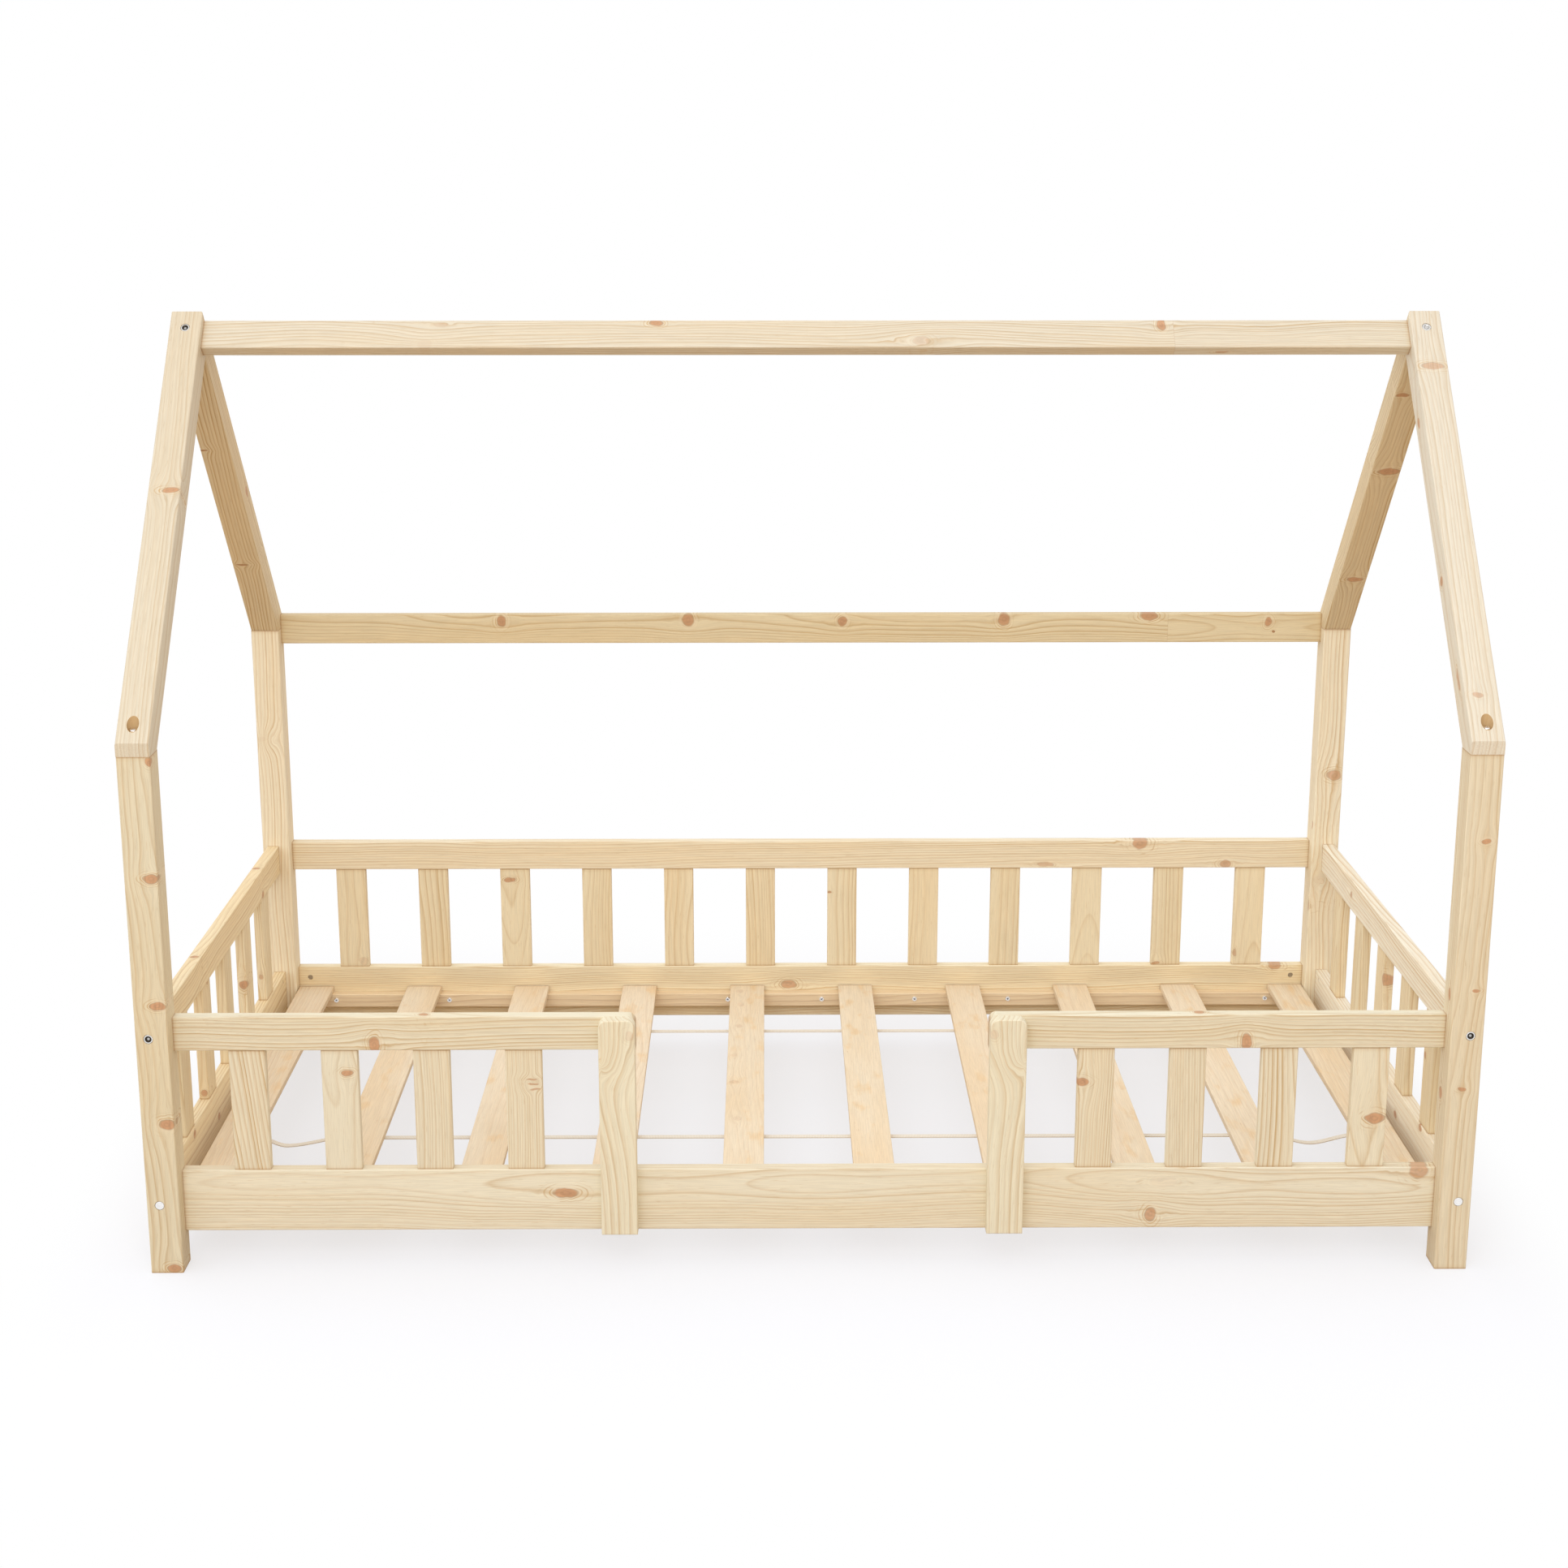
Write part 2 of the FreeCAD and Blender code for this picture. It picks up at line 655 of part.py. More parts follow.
def make_roof_fasteners():
    """The upright screws from the rafters into the posts and the bolts at the apex."""
    eave_screws = []
    post_x = (half_length + post_inner_x) / 2
    post_y = (half_depth + post_inner_y) / 2
    screw_x = post_x + eave_screw_out_x
    screw_y = post_y + eave_screw_out_y
    rise = (half_depth - screw_y) * math.tan(roof_angle)
    seat_z = post_height + rafter_plumb + rise - eave_bore_depth
    length = seat_z - post_height + eave_screw_bite
    screw = pan_screw(eave_screw_diameter, eave_screw_head, eave_screw_head_height, length)
    bore = apex_height - seat_z
    for side, sign_x in SIDES:
        for end, sign_y in (("front", -1), ("rear", 1)):
            seat = Vector(sign_x * screw_x, sign_y * screw_y, seat_z)
            eave_screws.append(placed(screw, seat, -AXIS_Z))
            rafter = f"{end}_{side}_rafter"
            drill(rafter, rod(seat, AXIS_Z, bore, eave_bore_diameter))
            hole = rod(seat, -AXIS_Z, length + fit_clear, eave_screw_diameter + fit_clear)
            drill(rafter, hole)
            drill(f"{end}_{side}_post", hole)
        mouth = apex - slope_up * apex_bolt_drop + AXIS_X * (sign_x * post_x)
        sink_bolt("apex_bolts", f"front_{side}_rafter", mouth, -slope_out, apex_bolt_reach)
        start = mouth + slope_out * overrun
        hole_length = apex_bolt_reach + overrun + fit_clear
        for end in ("front", "rear"):
            hole = rod(start, -slope_out, hole_length, bolt_diameter + bolt_clear)
            drill(f"{end}_{side}_rafter", hole)
    add("eave_screws", eave_screws)


def finished(name):
    """A piece with its holes cut, as one solid or a group of solids."""
    shape = solids[name]
    if isinstance(shape, list):
        return Part.makeCompound(shape)
    for tool in holes.get(name, []):
        shape = shape.cut(tool)
    return shape


def main():
    make_posts()
    make_rafters()
    make_roof_beams()
    make_long_rails()
    join_long_rails()
    make_end_rails()
    make_balusters()
    make_stiles()
    make_ledges()
    make_slats()
    make_ribbons()
    make_roof_fasteners()
    for group, shapes in bolts.items():
        add(group, shapes)
    add("barrel_nuts", nuts)
    add("rail_dowels", dowels)
    os.makedirs("parts", exist_ok=True)
    for name in solids:
        finished(name).exportStep(f"parts/{name}.step")


main()
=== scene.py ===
"""Looks of a house-frame children's bed in planed pine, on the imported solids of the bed."""

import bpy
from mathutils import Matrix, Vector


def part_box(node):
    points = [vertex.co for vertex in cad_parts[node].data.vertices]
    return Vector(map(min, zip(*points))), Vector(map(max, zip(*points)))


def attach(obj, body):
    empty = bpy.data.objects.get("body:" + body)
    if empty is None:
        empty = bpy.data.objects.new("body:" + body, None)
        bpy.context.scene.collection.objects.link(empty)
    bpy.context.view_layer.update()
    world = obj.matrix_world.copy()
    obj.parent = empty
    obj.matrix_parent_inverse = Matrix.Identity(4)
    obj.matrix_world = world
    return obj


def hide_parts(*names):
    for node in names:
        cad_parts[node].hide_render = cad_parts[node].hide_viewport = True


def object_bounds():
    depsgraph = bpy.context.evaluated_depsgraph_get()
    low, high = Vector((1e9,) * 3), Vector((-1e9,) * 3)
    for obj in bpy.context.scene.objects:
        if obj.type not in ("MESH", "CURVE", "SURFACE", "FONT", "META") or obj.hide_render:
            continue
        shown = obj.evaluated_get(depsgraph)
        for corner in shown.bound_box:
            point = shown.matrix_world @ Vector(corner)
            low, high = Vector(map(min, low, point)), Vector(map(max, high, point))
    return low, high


bl_info = {
    "name": "House-frame bed",
    "version": (1, 0, 0),
    "blender": (4, 5, 0),
    "location": "View3D > Sidebar > Bed",
    "description": "Finishes a house-frame children's bed in planed pine, bright steel and woven ribbon",
    "category": "Object",
}

import math

import bmesh
import bpy
from bpy.props import FloatProperty, FloatVectorProperty, IntProperty, PointerProperty
from mathutils import Euler, Matrix, Vector
from mathutils.bvhtree import BVHTree

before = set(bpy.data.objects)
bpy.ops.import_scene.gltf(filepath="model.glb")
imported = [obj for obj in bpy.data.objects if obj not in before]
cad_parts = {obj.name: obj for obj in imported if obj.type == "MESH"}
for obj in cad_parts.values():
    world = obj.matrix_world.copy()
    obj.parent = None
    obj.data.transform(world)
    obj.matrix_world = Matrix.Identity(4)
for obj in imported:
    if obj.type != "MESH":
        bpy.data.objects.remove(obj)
CAD_BOX = [list(corner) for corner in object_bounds()]

MM = 0.001
FAR = 9.0
NOUGHT = (0.0, 0.0, 0.0)
HALF = (0.5, 0.5, 0.5)
WHITE = (1.0, 1.0, 1.0, 1.0)
AXIS_X = Vector((1, 0, 0))
AXIS_Y = Vector((0, 1, 0))
AXIS_Z = Vector((0, 0, 1))

# The photo's camera: place in metres, turn, and focal length in pixels of the square photo
PHOTO_SIDE = 1932.0
PHOTO_FOCAL = 3020.11
CAMERA_PLACE = (-0.05535, -3.37871, 1.41830)
CAMERA_TURN = (math.pi / 2 - 0.25257, 0.0, -0.00725)
SENSOR_MM = 36.0

# The lamp and the floor: how far from the bed the floor turns white, sooner beside the bed's ends
LAMP_SIZE = (3.0, 2.0)
LAMP_PLACE = (-0.4, -3.4, 2.5)
LAMP_AIM = (0.0, 0.0, 0.5)
FLOOR_FADE = 0.65
FLOOR_SQUEEZE = (3.5, 1.0, 0.0)
RIGHT_TINT = (1.06, 0.98, 0.91, 1.0)
SKY_HEIGHTS = (-0.1, 0.9)
SIDE_RANGE = (-0.8, 0.8)

# Corners nearer than the first are one corner, and places nearer than the second lie in one plane (m)
SAME_CORNER = 0.01 * MM
SAME_PLANE = 0.2 * MM

# How fast the patterns of the wood change per metre, along the grain, across it and through the board
DRIFT_RATES = (2.6, 0.0, 0.0)
RIPPLE_RATES = (11.0, 42.0, 42.0)
PATCH_RATES = (2.6, 15.0, 15.0)
MOTTLE_RATES = (17.0, 42.0, 42.0)
FIBRE_RATES = (26.0, 850.0, 850.0)
STREAK_RATES = (75.0, 1100.0, 1100.0)
BROKEN_RATES = (55.0, 90.0, 90.0)
KNOT_WOBBLE_RATE = 70.0

# Ring lines: how far the pith wanders and the rings ripple (m), how uneven the rings are, where in a
# ring its line is darkest, how far the line fades as a share of the ring, how sharp its dark side is
# (m), how it widens on a flat cut, the fine lines between, and how much warm cloud there is; last, the
# directions that count across a board and on the level
DRIFT = (0.0, 0.028, 0.028)
RIPPLE = 0.0026
UNEVEN_RATE = 0.42
UNEVEN_SHARE = 1.5
LINE_PLACE = 0.86
LINE_SHARE = 0.34
LINE_EDGE = 0.0013
FLAT_WIDENS = 0.6
LEAST_SPREAD = 0.01
HAIRLINES = 2.7
HAIR_SHARE = 0.2
CLOUDS = 0.42
ACROSS_GRAIN = (0.0, 1.0, 1.0)
LEVEL_PLANE = (1.0, 1.0, 0.0)
NOISE_ROUGHNESS = 0.5

# Smooth steps in the look of the wood: from, to, and the results there where they aren't 0 and 1
RING_STRENGTH = (0.0, 1.0, 0.45, 1.0)
FLAT_STRENGTH = (0.0, 0.8, 0.6, 1.0)
HAIR_STEP = (0.55, 1.0)
PATCH_STEP = (0.4, 0.72)
MOTTLE_STEP = (0.5, 0.74)
STREAK_STEP = (0.70, 0.84, 0.0, 0.28)
FIBRE_STEP = (0.25, 0.75, 0.93, 1.05)
WOOD_ROUGHNESS = (0.0, 0.8, 0.62, 0.50)
BROKEN_STEP = (0.36, 0.62)

# The same round the middle of a knot, in its half widths, and how close its lines and rings are
PALE_START = (1.0, 1.12)
PALE_END = (1.25, 1.8, 0.3, 0.0)
KNOT_LINES = 3.9
KNOT_LINE_STEP = (0.5, 1.0)
LINES_START = (1.1, 1.22)
LINES_END = (1.3, 2.7, 0.8, 0.0)
HEART_FIBRE = (0.25, 0.75, 0.9, 1.12)
HEART_RINGS = 3.1
HEART_RING_STEP = (0.3, 1.0, 1.04, 0.93)
HEART_EDGE = (0.8, 1.04, 0.92, 0.0)
RIM_START = (0.8, 0.98)
RIM_END = (1.0, 1.14, 1.0, 0.0)
RIM_STRENGTH = (0.0, 1.0, 0.15, 0.55)

# The same for the painted shade near a board's ends, the painted contact shadow line at them, the dark
# line at a finger joint, and the painted shade inside the bores in the rafters (m)
END_SHADE = (0.0, 8.0 * MM, 0.22, 0.0)
END_SEAM_SHADOW = (0.4 * MM, 2.8 * MM, 0.5, 0.0)
JOINT_SEAM = (0.2 * MM, 1.0 * MM, 0.14, 0.0)
BORE_SHADE = (7.6 * MM, 7.9 * MM, 0.8, 0.0)

# How much of the relief comes from ring lines, fibres and knot rims, and how strong all of it is
LINE_RELIEF = 0.6
FIBRE_RELIEF = 0.4
RIM_RELIEF = 0.5
WOOD_RELIEF = 0.1

# Steel: smears per metre, the tint and extra roughness they bring, their relief, and how rough it is
SMEAR_RATE = 900.0
SMEAR_TINT = (0.3, 0.7, 0.9, 1.05)
SMEAR_RANGE = (0.3, 0.7)
SMEAR_ROUGHER = 0.1
SMEAR_RELIEF = (0.1, 0.02 * MM)
BRIGHT_ROUGHNESS = 0.2
NUT_ROUGHNESS = 0.4
WIRE_ROUGHNESS = 0.3

# Tape and dowels: fuzz and flecks per metre, and the steps and relief that they make
FUZZ_RATE = 1400.0
FUZZ_SHARE = 0.35
CLOTH_STEP = (0.1, 0.7)
CLOTH_ROUGHNESS = (0.3, 0.7, 0.82, 0.92)
CLOTH_RELIEF = (0.6, 0.3 * MM)
FLECK_RATE = 300.0
FLECK_ROUGHNESS = (0.3, 0.7, 0.55, 0.7)

# Knots: how uneven their outline is (m), how far they reach into the board and bend the grain as
# shares of their half widths, and how wide a fan of grain is
KNOT_WOBBLE = 0.006
KNOT_DEPTH_SHARE = 3.5
BEND_SHARES = (0.2, 0.48, 0.5)
BEND_SHARE = 0.78
FAN_ALONG = 0.07
FAN_HEART = 0.3

# What changes from board to board, and beyond a finger joint
SEED_SHIFT = (7.31, 3.17, 5.71)
SEED_COUNT = 17.0
JOINT_SEED = 2.3
JOINT_PITH = (0.0, -0.016, 0.006)

POSTS = ("front_left_post", "front_right_post", "rear_left_post", "rear_right_post")
RAFTERS = ("front_left_rafter", "front_right_rafter", "rear_left_rafter", "rear_right_rafter")
LONG_RAILS = ("front_base_rail", "rear_base_rail", "rear_top_rail", "front_left_top_rail",
              "front_right_top_rail")
END_RAILS = ("left_base_rail", "right_base_rail", "left_top_rail", "right_top_rail")
STILES = ("left_entry_stile", "right_entry_stile")
LEDGES = ("front_ledge", "rear_ledge")
SLATS = tuple(f"slat_{number}" for number in range(1, 11))
RIBBONS = ("front_ribbon", "rear_ribbon")

# Rows of balusters: the row, its nodes, the axis it runs along and its seed
BALUSTER_ROWS = (
    ("front_left_guard", tuple(f"front_left_baluster_{number}" for number in range(1, 5)), 0, 31),
    ("front_right_guard", tuple(f"front_right_baluster_{number}" for number in range(1, 5)), 0, 37),
    ("rear_guard", ("rear_balusters",), 0, 41),
    ("left_guard", ("left_end_balusters",), 1, 43),
    ("right_guard", ("right_end_balusters",), 1, 47),
)

# Limits of chance for the boards of a row: pith and its lean (m), then ring width (m), contrast and
# seed together, then the tone; below, what is added to a row's seed for the tones, the points of a
# rounded edge, and what the slats have of their own
BALUSTER_CHANCES = (((0, -0.06, -0.06), (0, 0.06, -0.026)), ((0, -0.03, -0.02), (0, 0.03, 0.02)),
                    ((0.0036, 0.5, 0.0), (0.0050, 0.8, 9.0)))
FRONT_TONES = ((0.95, 1.03, 1.09), (0.99, 1.075, 1.14))
REAR_TONES = ((0.99, 1.01, 0.96), (1.035, 1.05, 1.0))
SLAT_CHANCES = (((0, -0.05, -0.05), (0, 0.05, -0.02)), ((0, -0.03, -0.02), (0, 0.03, 0.02)),
                ((0.0035, 0.1, 0.0), (0.007, 0.3, 9.0)), ((0.94, 0.965, 0.995), (0.975, 1.0, 1.05)))
TONE_DRAW = 3.0
ARRIS_POINTS = 3
SLAT_SEED = 53
SLAT_CLOUDS = 0.5
SLAT_MOTTLE = 0.95

# Tones: what the colours of a kind of board are multiplied by. They were matched to each kind's look under
# the studio light, so besides the wood's own colour they carry some painted light and shade
TONES = {
    "left post": (0.91, 0.97, 0.98),
    "right post": (0.94, 0.98, 0.99),
    "rear left post": (1.07, 1.13, 1.17),
    "rear right post": (1.07, 1.15, 1.22),
    "left rafter": (0.86, 0.92, 1.0),
    "right rafter": (0.92, 1, 1.13),
    "rear rafter": (0.92, 0.92, 0.86),
    "ridge": (0.89, 0.96, 1.06),
    "eave": (0.90, 0.90, 0.81),
    "top rail": (0.96, 1.05, 1.11),
    "base rail": (0.99, 1.08, 1.16),
    "rear top rail": (1.05, 1.1, 1.13),
    "rear base rail": (1.07, 1.12, 1.1),
    "left end rail": (1.06, 1.05, 0.96),
    # Paler and brighter: painted light from the left on the inner faces of the right end rails
    "right end rail": (1.08, 1.18, 1.33),
    "stile": (0.99, 1.09, 1.15),
    "ledge": (1.12, 1.17, 1.1),
}

# How each board was cut from its log: where the pith lies across the face and behind it, how far the
# pith leans along the board across and in depth, the width of a ring (all mm, leans in mm per metre),
# how strong the rings are, its seed and its tone
CUTS = {
    "front_left_post": (-36, -36, 8, 10, 5.2, 0.6, 1.3, "left post"),
    "front_right_post": (38, -34, -8, 12, 5.2, 0.6, 2.9, "right post"),
    "rear_left_post": (52, -34, 4, 6, 4.0, 0.8, 3.7, "rear left post"),
    "rear_right_post": (-48, -40, 6, -8, 4.0, 0.75, 4.1, "rear right post"),
    "front_left_rafter": (-70, 8, 10, 6, 5.4, 0.5, 5.3, "left rafter"),
    "front_right_rafter": (70, 8, -12, 6, 5.8, 0.42, 6.7, "right rafter"),
    "rear_left_rafter": (60, 20, 8, 10, 3.8, 0.9, 7.9, "rear rafter"),
    "rear_right_rafter": (-60, 18, -6, 12, 3.8, 0.9, 8.3, "rear rafter"),
    "ridge_beam": (-54, -40, -8, 6, 3.6, 0.65, 9.1, "ridge"),
    "eave_beam": (26, -32, -6, 6, 3.2, 0.85, 10.7, "eave"),
    "front_base_rail": (24, -34, -8, 10, 3.2, 0.65, 11.3, "base rail"),
    "rear_base_rail": (-60, -30, 6, 4, 3.2, 0.7, 12.9, "rear base rail"),
    "rear_top_rail": (-56, -24, 8, 8, 3.6, 0.75, 13.1, "rear top rail"),
    "front_left_top_rail": (-60, -15, 16, 10, 4.4, 0.72, 14.7, "top rail"),
    "front_right_top_rail": (-60, -16, -14, 10, 4.4, 0.76, 15.9, "top rail"),
    "left_base_rail": (60, -60, 10, 8, 4.6, 0.8, 16.3, "left end rail"),
    "right_base_rail": (-60, -60, -10, 8, 4.6, 0.8, 17.7, "right end rail"),
    "left_top_rail": (-60, -54, 12, 8, 4.0, 0.8, 18.1, "left end rail"),
    "right_top_rail": (60, -54, -12, 8, 4.0, 0.8, 19.9, "right end rail"),
    "left_entry_stile": (-36, -22, 0, 0, 7.0, 0.5, 20.3, "stile"),
    "right_entry_stile": (36, -22, 0, 0, 7.0, 0.5, 20.3, "stile"),
    "front_ledge": (-30, -40, 6, 8, 4.2, 0.6, 23.3, "ledge"),
    "rear_ledge": (-30, -40, 6, 8, 4.2, 0.6, 24.1, "ledge"),
}

# The same for the front balusters, from left to right, without a tone
BALUSTER_CUTS = {
    "front_left_guard": ((40, -24, 90, 0, 4.6, 0.9, 1.7), (6, -34, 20, 30, 5.0, 0.7, 2.3),
                         (60, -14, 8, 0, 3.8, 0.5, 3.1), (-60, -12, -10, 0, 3.4, 0.65, 4.9)),
    "front_right_guard": ((52, -20, -30, 0, 3.6, 0.75, 5.3), (-60, -12, 10, 0, 3.4, 0.6, 6.1),
                          (-30, -26, -20, 0, 4.4, 0.9, 7.7), (6, -32, 20, 20, 4.8, 0.8, 8.9)),
}

# Knots seen in the photo: its pixel, its half width across and along the grain in mm, and, where they
# are not 1, how ruddy it is (less for a faint swirl, more for a dark mark) and how far it pushes the
# grain aside (below nought, the grain is drawn in); last, by how many mm the grain fans out from it
KNOTS = {
    "front_left_rafter": ((210, 604, 12, 4.5),),
    "front_right_rafter": ((1766, 451, 15, 6, 0.65, 0.35), (1748, 522, 5, 8), (1776, 717, 6, 8),
                           (1797, 838, 4, 16, 0.8), (1821, 856, 7, 3.5, 0.6, 0.4)),
    "rear_left_rafter": ((250, 555, 7, 2, 1.7), (304, 606, 6, 10), (299, 696, 10, 2, 1.7)),
    "rear_right_rafter": ((1728, 487, 9, 4, 1.3), (1711, 581, 16, 7, 1.1), (1670, 714, 13, 5)),
    "ridge_beam": ((543, 400, 4, 10, 0.25), (523, 424, 8, 10, 0.1, -1.2), (808, 398, 5, 9),
                   (1135, 420, 8, 12, 0.3, 1.3), (1431, 400, 9, 6), (1505, 434, 2.2, 9, 0.7, 0.0),
                   (1572, 420, 10, 12, 0.0, -0.6)),
    "eave_beam": ((618, 766, 9, 8, 1.3), (848, 764, 10, 9, 1.3), (1038, 766, 8, 7, 1.3),
                  (1237, 763, 10, 9, 1.3), (1416, 759, 7, 14, 1.3), (1563, 766, 7, 6, 1.2),
                  (1569, 778, 2, 2, 1.9)),
    "front_left_post": ((183, 939, 5, 6), (186, 1083, 10, 6), (194, 1240, 10, 5), (206, 1386, 10, 7.5),
                        (215, 1563, 9, 6)),
    "front_right_post": ((1832, 1037, 6, 4), (1819, 1221, 5, 2.4), (1802, 1342, 6, 2.6),
                         (1775, 1346, 6, 9), (1786, 1225, 5, 8)),
    "rear_left_post": ((321, 911, 10, 4, 0.1, -2.0),),
    "rear_right_post": ((1644, 955, 12, 8, 0.8), (1617, 1017, 3, 7, 0.8), (1626, 1084, 9, 7, 0.1, 1.4),
                        (1612, 1116, 3, 9, 0.6)),
    "rear_top_rail": ((1288, 1065, 4, 14, 0.6), (1405, 1039, 10, 13, 0.9), (1510, 1065, 7, 9, 0.8)),
    "rear_base_rail": ((972, 1213, 7, 13, 0.85), (1571, 1190, 6, 11, 0.9)),
    "front_base_rail": ((697, 1470, 7, 16), (1417, 1495, 10, 8, 0.9), (1749, 1443, 11, 13, 0.8),
                        (1434, 1456, 8, 18, 0.1)),
    "front_left_top_rail": ((462, 1288, 11, 7), (522, 1250, 5, 7), (226, 1250, 16, 18, 0.0)),
    "front_right_top_rail": ((1536, 1284, 12, 7), (1477, 1247, 5, 7), (1780, 1250, 16, 18, 0.0)),
    "left_top_rail": ((315, 1070, 6, 5), (239, 1179, 6, 5), (324, 1102, 5, 6)),
    "right_top_rail": ((1665, 1102, 5, 6, 0.8),),
    "left_base_rail": ((270, 1375, 5, 7), (240, 1397, 5, 7)),
    "right_base_rail": ((1719, 1373, 5, 7), (1750, 1390, 5, 7)),
    "left_entry_stile": ((740, 1316, 8, 8, 0.0, 0.0, 14), (775, 1277, 6, 7, 0.25)),
    "right_entry_stile": ((1262, 1314, 8, 8, 0.0, 0.0, -14), (1225, 1275, 6, 7, 0.25)),
}
BALUSTER_KNOTS = {
    "front_left_guard": ((428, 1322, 8, 4.5), (655, 1330, 8, 1.3, 0.8), (657, 1336, 8, 1.3, 0.8),
                         (659, 1342, 7, 1.3, 0.8)),
    "front_right_guard": ((1333, 1333, 9, 5.5), (1694, 1377, 13, 8)),
    "rear_guard": ((628, 1084, 9, 4), (1022, 1099, 3.5, 1.8, 1.3), (1424, 1186, 7, 3, 0.9),
                   (1521, 1174, 3, 6, 0.7), (448, 1184, 8, 7, 0.3)),
    "left_guard": ((300, 1214, 7, 8), (322, 1204, 4, 4, 0.7), (255, 1209, 4, 5), (252, 1347, 5, 5)),
    "right_guard": ((1705, 1207, 9, 9, 0.9), (1756, 1300, 5, 4)),
}
SLAT_KNOTS = ((912, 1221, 6, 9, 0.2), (913, 1238, 6, 9, 0.2), (910, 1264, 6, 7, 0.25),
              (905, 1300, 5, 6, 0.2), (905, 1333, 7, 6, 0.25), (908, 1378, 6, 8, 0.2))

# Finger joints, where the grain changes: a pixel of the photo
JOINTS = {"eave_beam": (1439, 770), "ridge_beam": (1446, 405)}

# Heads of the turned fasteners, ring by ring: its kind, radius and depth (mm), and how dark it is, which
# is painted dark reflection in the sockets and on a ring round them
SOCKET_RINGS = (("hex", 0.9, 1.6, 0.4), ("hex", 1.8, 1.5, 0.75), ("hex", 2.4, 0.5, 1.0),
                ("hex", 3.0, 0.12, 1.0), ("round", 4.1, 0.05, 0.95), ("round", 4.6, 0.0, 0.1))
CLOSED_RINGS = (("round", 0.5, 0.0, 0.0), ("round", 4.6, 0.0, 0.0))
BOLT_SIDE_RINGS = (("round", 5.6, 0.22, 0.0), ("round", 5.95, 0.7, 0.0), ("round", 6.0, 1.2, 0.0),
                   ("round", 6.0, 3.0, 0.0), ("round", 2.5, 3.0, 0.0))
SUNK_HEAD_RINGS = (("cross", 0.8, 1.7, 1.0), ("cross", 2.1, 1.2, 1.0), ("cross", 2.7, 0.05, 0.7),
                   ("round", 3.2, 0.0, 0.0), ("round", 4.1, 0.0, 0.0), ("round", 4.15, 0.15, 0.0),
                   ("round", 2.0, 2.3, 0.0))

# A pan head as shares of its radius and its height, with how much painted dark reflection each ring gets
PAN_HEAD_SHARES = (("cross", 0.2, 0.75, 0.8), ("cross", 0.38, 0.5, 0.5), ("cross", 0.48, 0.06, 0.2),
                   ("round", 0.62, 0.0, 0.0), ("round", 0.86, 0.14, 0.0), ("round", 0.96, 0.45, 0.0),
                   ("round", 1.0, 0.8, 0.0), ("round", 0.98, 1.0, 0.0))

# Pan-head screws: head diameter, head height and shank diameter (mm)
LEDGE_SCREW = (8.4, 2.2, 3.5)
EAVE_SCREW = (10.5, 2.4, 5.0)

# Tips of the fasteners (mm, and for a pan-head screw a share of its shank)
BOLT_CHAMFER = 0.8
BOLT_TIP_RADIUS = 1.7
SCREW_POINT = 3.0
SUNK_TIP_RADIUS = 0.3
PAN_TIP_SHARE = 0.1

# How much of its painted dark reflection a socket keeps where it catches the light, how wide the wings of
# a cross recess are and how deep its waist is, and the height (m) below which the bolts of the end rails
# have smooth heads
PALE_SHARE = 0.4
CROSS_WING_SHARE = 0.16
CROSS_WAIST_SHARE = 0.42
SMOOTH_BOLTS_BELOW = 0.2

# Slack of the ribbons: the slats before and after a gap, and where in it they hang lowest; then the
# number of points along a ribbon
RIBBON_SLACK = ((0, 1, 0.32), (-2, -1, 0.49))
RIBBON_STEPS = 480

# What the bpy.props of a colour and of a length share
COLOUR = {"subtype": "COLOR", "size": 4, "min": 0.0, "max": 1.0}
LENGTH = {"unit": "LENGTH", "min": 0.0}


class PineFinish(bpy.types.PropertyGroup):
    """Colours and surface of the planed, untreated pine."""
    earlywood: FloatVectorProperty(
        name="Earlywood", description="Pale wood between the ring lines",
        default=(0.85, 0.735, 0.55, 1.0), **COLOUR)
    latewood: FloatVectorProperty(
        name="Latewood", description="Tan wood of the ring lines",
        default=(0.56, 0.355, 0.14, 1.0), **COLOUR)
    warm: FloatVectorProperty(
        name="Warm patches", description="Slightly ruddy tint of some stretches",
        default=(0.82, 0.64, 0.41, 1.0), **COLOUR)
    knot: FloatVectorProperty(
        name="Knots", description="Ruddy wood of the knots", default=(0.56, 0.31, 0.17, 1.0), **COLOUR)
    # Dark colour of the knot rims, which are the wood's own, and of the painted contact shadow along the
    # board ends
    bark_and_seam_shadow: FloatVectorProperty(
        name="Knot rims and seams", description="Dark line round knots and along board ends",
        default=(0.37, 0.19, 0.075, 1.0), **COLOUR)
    specular: FloatProperty(
        name="Gloss", description="Specular level of the bare planed face", min=0.0, max=1.0,
        default=0.25)
    bump: FloatProperty(
        name="Grain relief", description="Height of the raised ring lines", default=0.00006, **LENGTH)


